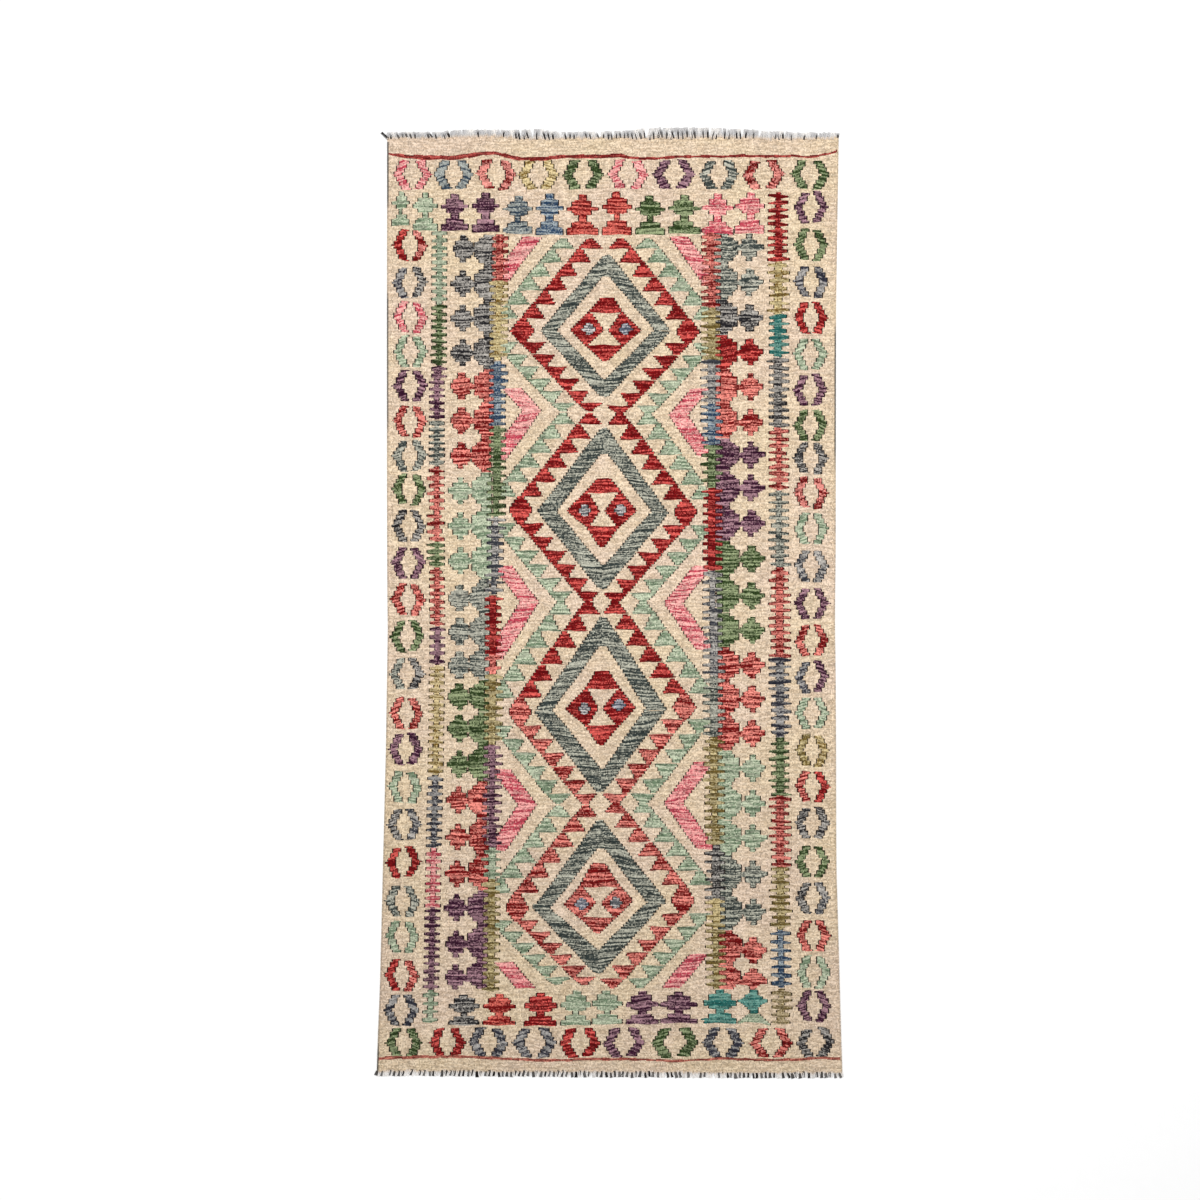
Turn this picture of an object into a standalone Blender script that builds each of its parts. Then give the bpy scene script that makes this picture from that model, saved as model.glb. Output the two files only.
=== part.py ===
"""A flat-woven kilim rug lying on the floor: the woven cloth and a short fringe at each end.

Units are metres, +Z is up. The rug's length runs along Y and its width along X. The origin is on the
floor, under the middle of the rug's box, fringes included. Every piece rests on the floor, z = 0.
"""

import random

import bmesh
import bpy
import numpy as np
from mathutils import Matrix, Vector

# Driving dimensions of the cloth.
CLOTH_THICK = 0.0030
CLOTH_COLUMNS = 20  # cells across the width
CLOTH_ROWS = 38  # cells along the length
LOWER_END = -0.984
UPPER_END = 0.977

# The hand-woven outline. Each row is one place along the length, from the lower end to the upper one.
SIDE_COLUMNS = ("y", "left_x", "right_x")
SIDE_EDGES = (
    (-0.984, -0.4874, 0.4887),
    (-0.897, -0.4846, 0.4857),
    (-0.813, -0.4808, 0.4834),
    (-0.729, -0.4787, 0.4813),
    (-0.645, -0.4766, 0.4788),
    (-0.561, -0.4745, 0.4763),
    (-0.477, -0.4724, 0.4757),
    (-0.309, -0.4682, 0.4752),
    (-0.141, -0.4655, 0.4747),
    (-0.057, -0.4641, 0.4733),
    (0.006, -0.4650, 0.4735),
    (0.111, -0.4655, 0.4747),
    (0.447, -0.4660, 0.4752),
    (0.615, -0.4660, 0.4755),
    (0.741, -0.4658, 0.4773),
    (0.867, -0.4656, 0.4792),
    (0.977, -0.4656, 0.4810),
)

# How far each woven end stands out past its end line, and how far the fringe reaches past the woven end.
# Each row is one place across the width.
END_COLUMNS = ("x", "lower_out", "lower_reach", "upper_out", "upper_reach")
END_EDGES = (
    (-0.490, 0.0000, 0.0108, 0.0006, 0.0115),
    (-0.420, -0.0004, 0.0112, 0.0006, 0.0115),
    (-0.355, -0.0010, 0.0118, -0.0004, 0.0125),
    (-0.310, -0.0010, 0.0120, 0.0018, 0.0156),
    (-0.270, -0.0006, 0.0118, 0.0046, 0.0128),
    (-0.230, 0.0000, 0.0118, 0.0036, 0.0138),
    (-0.195, 0.0000, 0.0120, -0.0018, 0.0192),
    (-0.160, 0.0000, 0.0120, -0.0036, 0.0210),
    (-0.110, 0.0002, 0.0122, -0.0006, 0.0144),
    (-0.020, 0.0004, 0.0120, 0.0006, 0.0126),
    (0.065, 0.0010, 0.0116, -0.0016, 0.0200),
    (0.110, 0.0012, 0.0116, 0.0004, 0.0212),
    (0.235, 0.0018, 0.0114, 0.0014, 0.0202),
    (0.315, 0.0020, 0.0116, 0.0004, 0.0159),
    (0.360, 0.0020, 0.0118, -0.0026, 0.0161),
    (0.405, 0.0020, 0.0118, -0.0016, 0.0137),
    (0.450, 0.0020, 0.0116, 0.0006, 0.0115),
    (0.490, 0.0020, 0.0112, 0.0024, 0.0100),
)

# Low swells where the cloth does not lie quite flat. Each is a smooth mound, and the cloth touches the
# floor everywhere else.
SWELL_COLUMNS = ("x", "y", "half_width", "half_length", "height")
SWELLS = (
    (-0.250, 0.900, 0.090, 0.065, 0.0045),
    (0.420, 0.895, 0.060, 0.070, 0.0040),
    (0.065, 0.905, 0.075, 0.060, 0.0025),
    (-0.415, 0.250, 0.050, 0.200, 0.0025),
    (0.420, -0.350, 0.055, 0.220, 0.0025),
    (-0.180, -0.905, 0.100, 0.060, 0.0030),
    (0.270, -0.905, 0.090, 0.060, 0.0030),
)

# The fringe: short ends of the cotton warps, gathered in locks.
LOCKS = 112  # at each end
LOCK_PART = 0.62  # share of a lock's pitch that its root takes up
LOCK_SHORTFALL = 0.16  # the most that a lock stays short of the fringe's reach, as a share of it
LOCK_LEAN = 0.0018  # the most that a lock's tip leans sideways
LOCK_STEPS = (0.5, 1.0)  # shares of a lock's length at which it has a section
LOCK_HEIGHT = 0.0026
TIP_WIDTH = 0.0024
TIP_HEIGHT = 0.0014
ROOT_STRIP = 0.0040  # width of the strip that holds the roots
GAP = 0.0003  # between the strip and the cloth
LOCK_SEED = 7

WOOL = (0.66, 0.51, 0.36, 1.0)
WOOL_ROUGHNESS = 0.95
COTTON = (0.80, 0.74, 0.64, 1.0)
COTTON_ROUGHNESS = 0.90


def lookup(rows, names, place, name, at):
    """The value of a table's named column at a place, between rows on straight lines."""
    places = np.array([row[names.index(place)] for row in rows])
    values = np.array([row[names.index(name)] for row in rows])
    return float(np.interp(at, places, values))


def side_x(side, y):
    """Where a long edge, left or right, lies at y."""
    return lookup(SIDE_EDGES, SIDE_COLUMNS, "y", f"{side}_x", y)


def end_value(end, kind, x):
    """How far the woven end stands out, or the fringe reaches, at x at the lower or upper end."""
    return lookup(END_EDGES, END_COLUMNS, "x", f"{end}_{kind}", x)


def end_line(end):
    """The end line's y, and which way along Y leads away from the rug there."""
    return (UPPER_END, 1) if end == "upper" else (LOWER_END, -1)


def end_y(end, x):
    """Where a woven end lies at x."""
    line, outwards = end_line(end)
    return line + outwards * end_value(end, "out", x)


def cloth_end_y(end, x):
    """The line that the cloth's cells make along a woven end, which is straight between their corners."""
    line, _ = end_line(end)
    corners = np.linspace(side_x("left", line), side_x("right", line), CLOTH_COLUMNS + 1)
    return float(np.interp(x, corners, [end_y(end, corner) for corner in corners]))


def swell_height(x, y):
    """How high the cloth's underside is off the floor at a point."""
    height = 0.0
    for row in SWELLS:
        swell = dict(zip(SWELL_COLUMNS, row))
        reach = np.hypot((x - swell["x"]) / swell["half_width"], (y - swell["y"]) / swell["half_length"])
        if reach < 1:
            height += swell["height"] * (1 - reach**2) ** 2
    return height


def cloth_point(across, along):
    """The underside of the cloth at a share of its width and of its length."""
    y = LOWER_END + (UPPER_END - LOWER_END) * along
    left, right = side_x("left", y), side_x("right", y)
    x = left + (right - left) * across
    lower, upper = end_y("lower", x), end_y("upper", x)
    y = lower + (upper - lower) * along
    return Vector((x, y, swell_height(x, y)))


def finish(name, color, roughness):
    """A plain cloth material."""
    material = bpy.data.materials.new(name)
    material.use_nodes = True
    shader = material.node_tree.nodes["Principled BSDF"]
    shader.inputs["Base Color"].default_value = color
    shader.inputs["Roughness"].default_value = roughness
    shader.inputs["Metallic"].default_value = 0.0
    return material


def add_object(name, built, material, collection):
    """A named object made from a finished bmesh, with its material."""
    mesh = bpy.data.meshes.new(name)
    built.to_mesh(mesh)
    built.free()
    mesh.materials.append(material)
    made = bpy.data.objects.new(name, mesh)
    collection.objects.link(made)
    return made


def make_cloth(material, collection):
    """The woven cloth: a grid laid out to the outline and the swells, thickened upwards."""
    grid = bmesh.new()
    bmesh.ops.create_grid(grid, x_segments=CLOTH_COLUMNS, y_segments=CLOTH_ROWS, size=0.5)
    for vertex in grid.verts:
        vertex.co = cloth_point(vertex.co.x + 0.5, vertex.co.y + 0.5)
    cloth = add_object("kilim_cloth", grid, material, collection)
    thickness = cloth.modifiers.new("thickness", "SOLIDIFY")
    thickness.thickness = CLOTH_THICK
    thickness.offset = 1.0
    return cloth


def lock_roots(end):
    """The x of each side of each lock's root, from the left edge to the right one."""
    line, _ = end_line(end)
    left, right = side_x("left", line), side_x("right", line)
    pitch = (right - left) / LOCKS
    margin = pitch * (1 - LOCK_PART) / 2
    places = []
    for i in range(LOCKS):
        places += [left + i * pitch + margin, left + (i + 1) * pitch - margin]
    return places


def root_strip(end):
    """The strip along the cloth's end, closed, with one cell for each root and one for each space."""
    _, outwards = end_line(end)
    places = lock_roots(end)
    strip = bmesh.new()
    bmesh.ops.create_grid(strip, x_segments=len(places) - 1, y_segments=1, size=0.5)
    for vertex in strip.verts:
        x = places[round((vertex.co.x + 0.5) * (len(places) - 1))]
        outer = vertex.co.y * outwards > 0
        out = GAP + ROOT_STRIP if outer else GAP
        vertex.co = (x, cloth_end_y(end, x) + outwards * out, 0.0)
    raised = bmesh.ops.extrude_face_region(strip, geom=strip.faces[:])
    top = [made for made in raised["geom"] if isinstance(made, bmesh.types.BMVert)]
    bmesh.ops.translate(strip, verts=top, vec=(0, 0, LOCK_HEIGHT))
    bmesh.ops.recalc_face_normals(strip, faces=strip.faces[:])
    return strip


def draw_out(fringe, root, outwards, length, lean):
    """Draws one root face out into a lock that tapers to its tip, with its underside on the floor."""
    start = root.calc_center_median()
    half_root = max(vertex.co.x for vertex in root.verts) - start.x
    face = root
    for share in LOCK_STEPS:
        face = bmesh.ops.extrude_discrete_faces(fringe, faces=[face])["faces"][0]
        middle_x = face.calc_center_median().x
        half_width = half_root + (TIP_WIDTH / 2 - half_root) * share
        height = LOCK_HEIGHT + (TIP_HEIGHT - LOCK_HEIGHT) * share
        for vertex in face.verts:
            side = 1 if vertex.co.x > middle_x else -1
            vertex.co.x = start.x + lean * share**2 + side * half_width
            vertex.co.y = start.y + outwards * length * share
            vertex.co.z = height if vertex.co.z > 0 else 0.0


def make_fringe(end, material, collection):
    """A fringe: the root strip with every second outer face drawn out into a lock."""
    rng = random.Random(f"{end} {LOCK_SEED}")
    _, outwards = end_line(end)
    fringe = root_strip(end)
    outer = [face for face in fringe.faces if face.normal.y * outwards > 0.5]
    outer.sort(key=lambda face: face.calc_center_median().x)
    for root in outer[::2]:
        reach = end_value(end, "reach", root.calc_center_median().x)
        length = reach * (1 - rng.uniform(0, LOCK_SHORTFALL)) - ROOT_STRIP - GAP
        draw_out(fringe, root, outwards, length, rng.uniform(-LOCK_LEAN, LOCK_LEAN))
    return add_object(f"fringe_{end}", fringe, material, collection)


def centre_on_origin(pieces):
    """Slides all the pieces along the floor, so that the middle of their common box is at x = y = 0."""
    points = np.array([vertex.co for piece in pieces for vertex in piece.data.vertices])
    middle = (points.min(axis=0) + points.max(axis=0)) / 2
    for piece in pieces:
        piece.data.transform(Matrix.Translation((-middle[0], -middle[1], 0)))


def main():
    """Clears the scene and builds the rug."""
    for old in list(bpy.data.objects):
        bpy.data.objects.remove(old)
    collection = bpy.data.collections.new("kilim_rug")
    bpy.context.scene.collection.children.link(collection)
    wool = finish("wool_weave", WOOL, WOOL_ROUGHNESS)
    cotton = finish("cotton_warp", COTTON, COTTON_ROUGHNESS)
    pieces = [make_cloth(wool, collection)]
    pieces += [make_fringe(end, cotton, collection) for end in ("lower", "upper")]
    centre_on_origin(pieces)


main()
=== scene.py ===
"""The looks of the kilim rug: its woven pattern, selvedges and fringes, with a floor, light and a camera.

The pattern is laid out as a weaver charts it, motif by motif, and woven into the cloth's mesh warp by
warp. Chart squares are half a warp wide: x runs to the right and y down, as in the photograph.
"""

import logging
import math
import random
from bisect import bisect_left, bisect_right
from dataclasses import dataclass, field
from enum import Enum
from typing import Any, ClassVar, Iterable, NamedTuple

import bmesh
import bpy
import numpy as np
from bpy.types import Material, Mesh, Node, NodeSocket, Object
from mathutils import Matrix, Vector, noise
from mathutils.bvhtree import BVHTree


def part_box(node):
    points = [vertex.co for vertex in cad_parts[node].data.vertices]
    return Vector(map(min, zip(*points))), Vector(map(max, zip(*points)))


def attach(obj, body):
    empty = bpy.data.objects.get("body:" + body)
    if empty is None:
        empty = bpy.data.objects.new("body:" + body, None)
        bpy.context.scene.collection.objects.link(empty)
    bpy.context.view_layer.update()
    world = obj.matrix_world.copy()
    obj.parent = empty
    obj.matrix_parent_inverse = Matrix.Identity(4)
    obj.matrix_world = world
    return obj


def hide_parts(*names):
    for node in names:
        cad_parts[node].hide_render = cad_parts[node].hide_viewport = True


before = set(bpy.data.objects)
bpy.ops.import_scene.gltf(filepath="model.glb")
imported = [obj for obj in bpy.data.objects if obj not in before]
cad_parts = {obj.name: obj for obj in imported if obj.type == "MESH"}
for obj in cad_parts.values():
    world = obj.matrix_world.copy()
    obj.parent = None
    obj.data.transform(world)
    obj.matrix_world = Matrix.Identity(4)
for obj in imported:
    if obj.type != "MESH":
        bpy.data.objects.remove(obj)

log = logging.getLogger("kilim")

SQUARE = 0.0021  # metres to one chart square
CHART_ORIGIN = (609.56, 602.71)  # the chart square over the middle of the rug's box
CHART_TOP = 139.0
CHART_FOOT = 1072.0
LIGHT = 1.14  # how brightly the studio lights a white surface on the floor

Point = tuple[float, float]
Place = tuple[float, float, float]
Srgb = tuple[int, int, int]
Table = tuple[tuple, ...]


def to_linear(colour: Srgb, exposure: float = 1.0) -> tuple[float, float, float, float]:
    """Turns a colour as seen into the reflectance that shows it under the scene's light.

    Args:
        colour: Red, green and blue as seen, from 0 to 255.
        exposure: How brightly the scene's light shows a white surface.

    Returns:
        Linear red, green, blue and an alpha of one.
    """
    linear = []
    for channel in colour:
        share = channel / 255
        value = share / 12.92 if share <= 0.04045 else ((share + 0.055) / 1.055) ** 2.4
        linear.append(value / exposure)
    return (linear[0], linear[1], linear[2], 1.0)


def between(rows: Iterable[Point], at: float) -> float:
    """The value at a place, on straight lines between rows of place and value."""
    places, values = zip(*rows)
    return float(np.interp(at, places, values))


# Yarns


class Yarn(NamedTuple):
    """A hand-dyed yarn, whose shade changes along its length."""

    dark: Srgb  # the deeper shade, as seen
    light: Srgb  # the paler shade, as seen
    share: float  # how much of the yarn has the paler shade
    run: float  # how many chart squares high a streak of one shade is


class Dye(Enum):
    """The yarns that the rug is woven from."""

    GROUND = Yarn((212, 190, 164), (238, 218, 194), 0.5, 1.3)
    MADDER = Yarn((116, 4, 9), (232, 98, 90), 0.34, 1.5)
    CORAL = Yarn((116, 6, 8), (252, 150, 136), 0.45, 1.2)
    BRICK = Yarn((122, 8, 10), (236, 118, 104), 0.46, 1.4)
    SCARLET = Yarn((112, 8, 8), (250, 160, 148), 0.5, 3.2)
    PINK = Yarn((192, 66, 84), (255, 186, 178), 0.56, 1.3)
    ROSE = Yarn((190, 65, 83), (254, 178, 172), 0.58, 1.4)
    MINT = Yarn((116, 136, 108), (198, 206, 178), 0.57, 1.3)
    GREEN = Yarn((46, 64, 28), (156, 168, 126), 0.45, 1.4)
    PURPLE = Yarn((56, 16, 43), (177, 136, 146), 0.44, 1.4)
    BLUE = Yarn((46, 62, 78), (170, 174, 168), 0.56, 1.5)
    DEEP_BLUE = Yarn((40, 66, 96), (164, 174, 178), 0.45, 1.4)
    SLATE = Yarn((34, 32, 36), (182, 176, 168), 0.46, 1.1)
    NAVY = Yarn((48, 48, 60), (172, 168, 164), 0.46, 2.4)
    PALE_SLATE = Yarn((62, 64, 72), (194, 188, 180), 0.47, 2.4)
    TEAL_GREY = Yarn((58, 66, 64), (192, 190, 174), 0.5, 1.3)
    TURQUOISE = Yarn((36, 104, 98), (122, 170, 156), 0.46, 1.3)
    OCHRE = Yarn((128, 100, 42), (228, 206, 156), 0.6, 1.3)
    GOLD = Yarn((132, 102, 44), (226, 206, 154), 0.6, 2.0)
    AMBER = Yarn((138, 114, 60), (240, 218, 164), 0.55, 1.2)
    BRONZE = Yarn((122, 102, 58), (206, 186, 148), 0.5, 1.4)
    OLIVE = Yarn((116, 96, 46), (212, 194, 146), 0.5, 1.9)
    BAND_GREY = Yarn((54, 62, 60), (192, 191, 174), 0.44, 1.0)
    PALE_EYE = Yarn((86, 90, 94), (212, 204, 200), 0.45, 1.2)
    BLUE_EYE = Yarn((84, 92, 108), (184, 182, 186), 0.48, 1.2)
    LINE_RED = Yarn((118, 30, 28), (186, 86, 78), 0.42, 1.2)
    RUST = Yarn((134, 60, 50), (206, 128, 110), 0.48, 0.8)
    # not a yarn: the painted shadow in a slit, on the dark face that stands where the cloth would open
    SLIT = Yarn((30, 22, 20), (50, 38, 32), 0.5, 2.0)


def written(text: str) -> Table:
    """Reads a written table: rows of numbers and yarns, with a comma between rows."""
    rows = (row.split() for row in text.split(","))
    return tuple(tuple(Dye[word] if word.isupper() else float(word) for word in row) for row in rows)


# The chart


@dataclass(frozen=True)
class Patch:
    """One patch of colour on the chart."""

    outline: tuple[Point, ...]  # its corners, in chart squares
    dye: Dye  # its yarn
    slope: float  # how much its picks rise to the right, as a share of the way across
    seed: float  # a number that sets where its streaks fall
    depth: float = 1.0  # how bright its yarn is, as a factor; along a triangle's base it stands for painted shadow


@dataclass
class Chart:
    """The rug's pattern: patches of colour, where a later one covers an earlier one."""

    patches: list[Patch] = field(default_factory=list)
    rng: random.Random = field(default_factory=lambda: random.Random("kilim chart"))

    def lay(self, outline: Iterable[Point], dye: Dye, slope: float = 0.0, depth: float = 1.0) -> None:
        """Adds a patch.

        Args:
            outline: The patch's corners.
            dye: Its yarn.
            slope: How much its picks rise to the right.
            depth: How bright its yarn is.
        """
        self.patches.append(Patch(tuple(outline), dye, slope, self.rng.uniform(0, 100), depth))

    def bar(self, left: float, top: float, right: float, foot: float, dye: Dye, depth: float = 1.0) -> None:
        """Adds a plain upright block."""
        self.lay(((left, top), (right, top), (right, foot), (left, foot)), dye, 0.0, depth)


def kept_right_of(outline: list[Point], edge: float, sign: float) -> list[Point]:
    """Cuts an outline off along an upright line.

    Args:
        outline: The corners, in order.
        edge: Where the line lies.
        sign: 1 keeps what is to the right of the line, -1 what is to the left of it.

    Returns:
        The corners of what is kept, or none.
    """
    kept: list[Point] = []
    for (x, y), (next_x, next_y) in zip(outline, outline[1:] + outline[:1]):
        inside = (x - edge) * sign >= 0
        next_inside = (next_x - edge) * sign >= 0
        if inside:
            kept.append((x, y))
        if inside != next_inside:
            share = (edge - x) / (next_x - x)
            kept.append((edge, y + (next_y - y) * share))
    return kept


# Half outlines of motifs, from top to foot. Each row is a share of the way down and of the half width.
LEAF_SHAPE = written(
    """0 0.18, 0.03 0.27, 0.2 0.27, 0.2 0.52, 0.25 0.7, 0.38 0.74, 0.38 0.88, 0.42 1, 0.6 1, 0.63 0.86,
    0.63 0.74, 0.8 0.66, 0.84 0.5, 0.84 0.25, 0.98 0.23, 1 0.14"""
)
TRUNK_SHAPE = written(
    """0 0.26, 0.1 0.26, 0.1 0.5, 0.13 0.6, 0.21 0.62, 0.21 0.9, 0.26 1, 0.7 1, 0.74 0.88, 0.79 0.88,
    0.79 0.62, 0.9 0.58, 0.9 0.28, 1 0.26"""
)


def tree_shape(knob: float, crown: float, arms: float, waist: float, neck: float, step: float) -> list[Point]:
    """The half outline of a standing tree.

    Args:
        knob: The share of the height at which the knob on top ends.
        crown: Where the upper part of the crown ends.
        arms: Where its widest part ends.
        waist: Where the crown ends.
        neck: Where the trunk ends.
        step: Where the upper step of the foot ends.

    Returns:
        The corners from top to foot.
    """
    return [
        (0.0, 0.20), (0.02, 0.25), (knob, 0.25), (knob, 0.50), (knob + 0.03, 0.62), (crown, 0.64),
        (crown, 0.88), (crown + 0.03, 1.0), (arms - 0.01, 1.0), (arms, 0.86), (arms, 0.64),
        (waist - 0.03, 0.60), (waist, 0.44), (waist, 0.23), (neck, 0.22), (neck, 0.54),
        (neck + 0.02, 0.63), (step, 0.66), (step, 0.94), (step + 0.03, 1.0), (1.0, 0.98),
    ]


UPPER_TREE = tree_shape(0.14, 0.29, 0.395, 0.52, 0.67, 0.81)
LOWER_TREE = tree_shape(0.11, 0.31, 0.475, 0.59, 0.70, 0.84)


def mirrored(shape: Iterable[Point], middle: float, top: float, height: float, half: float) -> list[Point]:
    """A motif's outline, the same on both sides of its middle.

    Args:
        shape: The half outline, in shares of the height and the half width.
        middle: Where the motif's middle line lies.
        top: Where the motif starts.
        height: How high it is.
        half: Half of its width.

    Returns:
        The corners, down the right side and up the left one.
    """
    right = [(middle + half * out, top + height * down) for down, out in shape]
    left = [(2 * middle - x, y) for x, y in reversed(right)]
    return right + left


@dataclass(frozen=True)
class BracketShape:
    """One stroke of a border motif: a bracket that faces its twin."""

    # from top to foot, a share of the half height, and shares of the half width at the stroke's outer and
    # inner side
    rows: Table
    bulge: float = 0.04  # how far a row may stray outwards, as a share of the half width
    stray: float = 0.8  # how far a row's inner corner may stray up or down

    def stroke(self, middle: Point, half: Point, side: int, rng: random.Random) -> list[Point]:
        """The outline of one stroke.

        Args:
            middle: The middle of the pair.
            half: Half of the pair's width and height.
            side: -1 for the left stroke, 1 for the right one.
            rng: Where its unevenness comes from.

        Returns:
            Its corners, down the outer side and up the inner one.
        """
        outer: list[Point] = []
        inner: list[Point] = []
        for down, out, hollow in self.rows:
            y = middle[1] + half[1] * down
            bulge = rng.uniform(-self.bulge, self.bulge)
            outer.append((middle[0] + side * half[0] * (out + bulge), y))
            stray = rng.uniform(-self.stray, self.stray)
            inner.append((middle[0] + side * half[0] * (hollow + bulge / 2), y + stray))
        return outer + inner[::-1]


SIDE_BRACKET = BracketShape(
    written(
        """-1 0.52 0.13, -0.5 0.75 0.31, -0.14 0.9 0.5, 0 1.04 0.54, 0.14 0.89 0.49, 0.55 0.73 0.3,
        1 0.53 0.11"""
    )
)
END_BRACKET = BracketShape(
    written(
        """-1 0.62 0.19, -0.55 0.76 0.33, -0.14 0.92 0.51, 0 1.04 0.56, 0.14 0.92 0.5, 0.55 0.76 0.29,
        1 0.57 0.1"""
    )
)


@dataclass(frozen=True)
class Borders:
    """The ring of bracket pairs round the field."""

    end_height: float = 14.6  # half of the height of a pair at the ends
    side_half: Point = (16.9, 15.6)  # half of the width and height of a pair along the sides
    stagger: float = 0.7  # how much higher or lower the brackets of a pair may lie
    slope: float = 0.3  # how much their picks lean

    UPPER_MIDDLE: ClassVar[float] = 174.8
    UPPER: ClassVar[Table] = written(
        """412.5 18.5 PINK, 453.8 19 BLUE, 496.5 19.5 SCARLET, 538.5 19.5 OCHRE, 583 20.2 GREEN,
        628 19.5 PINK, 674 20.5 PURPLE, 719 19.5 TEAL_GREY, 763.3 20 SCARLET, 810 18.5 GREEN"""
    )
    LOWER_MIDDLE: ClassVar[float] = 1042.5
    LOWER: ClassVar[Table] = written(
        """404 17.5 GREEN, 447.5 17.3 MADDER, 488.5 19.5 NAVY, 535 21 NAVY, 580 20.2 MADDER,
        624.5 20.5 PURPLE, 674.7 23.2 GREEN, 723 20.3 NAVY, 771 21 CORAL, 815.5 18.5 SLATE"""
    )
    LEFT_LINE: ClassVar[Table] = written(
        "245 410.2, 390 410.6, 560 408.9, 713 406.4, 787 405.2, 862 403.2, 950 402.2, 1010 401.5"
    )
    LEFT: ClassVar[Table] = written(
        """245.5 MADDER SCARLET, 282.5 NAVY SLATE, 317.5 PINK, 351.5 MINT, 386 PURPLE, 421.5 CORAL,
        455.5 TEAL_GREY, 489.5 GREEN, 526 SLATE, 563 PURPLE, 599.5 CORAL, 636 GREEN,
        674 TEAL_GREY SLATE, 713 CORAL, 749 PURPLE, 787 MINT, 824.5 SLATE PALE_SLATE, 862 MADDER,
        901 TEAL_GREY, 936.5 MINT, 975.5 MADDER CORAL, 1010 NAVY"""
    )
    RIGHT_LINE: ClassVar[Table] = written("300 811, 360 810, 560 811.3, 780 812.2, 840 812.4, 1006 813.9")
    RIGHT: ClassVar[Table] = written(
        """207.5 PURPLE, 245 GREEN, 282 NAVY, 318 MADDER, 354 MINT, 390 PURPLE, 425.5 GREEN, 458 SLATE,
        493 SCARLET, 528.5 MINT, 566 PALE_SLATE, 603.5 PURPLE, 640.5 CORAL, 677 NAVY PURPLE, 713 MINT,
        750.5 OLIVE OCHRE, 786.5 CORAL MADDER, 823 SLATE, 861.5 GREEN, 898 SLATE PALE_SLATE,
        935.5 CORAL, 972 MINT, 1006 PURPLE"""
    )

    def chart(self, chart: Chart) -> None:
        """Lays all the bracket pairs."""
        for row, middle_y in ((self.UPPER, self.UPPER_MIDDLE), (self.LOWER, self.LOWER_MIDDLE)):
            for middle_x, half, dye in row:
                self.pair(chart, END_BRACKET, (middle_x, middle_y), (half, self.end_height), (dye, dye))
        for row, line in ((self.LEFT, self.LEFT_LINE), (self.RIGHT, self.RIGHT_LINE)):
            for middle_y, *dyes in row:
                middle = (between(line, middle_y), middle_y)
                self.pair(chart, SIDE_BRACKET, middle, self.side_half, (dyes[0], dyes[-1]))

    def pair(self, chart: Chart, shape: BracketShape, middle: Point, half: Point, dyes: tuple) -> None:
        """Lays one pair of brackets.

        Args:
            chart: The chart.
            shape: The brackets' steps.
            middle: The middle of the pair.
            half: Half of its width and height.
            dyes: The yarns of the left and right bracket.
        """
        drop = chart.rng.uniform(-self.stagger, self.stagger)
        for side, dye in zip((-1, 1), dyes):
            place = (middle[0], middle[1] + side * drop)
            chart.lay(shape.stroke(place, half, side, chart.rng), dye, -self.slope * side)


@dataclass(frozen=True)
class TreeRows:
    """The rows of small standing trees at both ends of the field."""

    UPPER: ClassVar[Table] = written(
        """401 191 226 8 MINT, 425 193 231 12.5 MINT, 454.5 194 231 13.5 PURPLE,
        486 192.5 232.5 13.7 PURPLE, 518 196 234 13.7 BLUE, 550 194 235 13.2 DEEP_BLUE,
        582.5 195 235 15 BRICK, 617 192 235 14.6 BRICK, 650 196 235 14.2 GREEN, 684 195 234 14.8 GREEN,
        717.5 193.5 235.5 14.5 PINK, 750 192 233.5 14 PINK"""
    )
    LOWER: ClassVar[Table] = written(
        """464 994 1025 14.8 SLATE, 499.5 994 1025 15.8 BRICK, 540.5 992 1025.5 16.5 MADDER,
        576 990.5 1025 14.6 MINT, 607 990 1024 14.4 MINT, 642 991 1024 15.8 PURPLE,
        679 991.5 1023 17.5 PURPLE, 719.5 989.5 1023 16.5 TURQUOISE"""
    )
    TURQUOISE_TOP: ClassVar[Table] = written(
        """749 989.5, 756 989.5, 757 994, 762 996, 763 998, 767 999, 767 1001.5, 761 1004.5, 757 1009,
        756.5 1014.5, 749.5 1014.5, 749 1009, 744 1004.5, 739 1001.5, 739 999, 744 997, 745 995,
        749 993.5"""
    )
    PALE_FOOT: ClassVar[Table] = written(
        """748 1013.5, 758 1013.5, 763 1018, 769 1023, 769 1025.5, 760 1022, 745 1022, 738 1024,
        738 1021, 744 1017"""
    )

    def chart(self, chart: Chart) -> None:
        """Lays both rows."""
        for shape, row in ((UPPER_TREE, self.UPPER), (LOWER_TREE, self.LOWER)):
            for middle, top, foot, half, dye in row:
                chart.lay(mirrored(shape, middle, top, foot - top, half), dye)
        chart.lay(self.TURQUOISE_TOP, Dye.TURQUOISE)
        chart.lay(self.PALE_FOOT, Dye.MINT)


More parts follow.
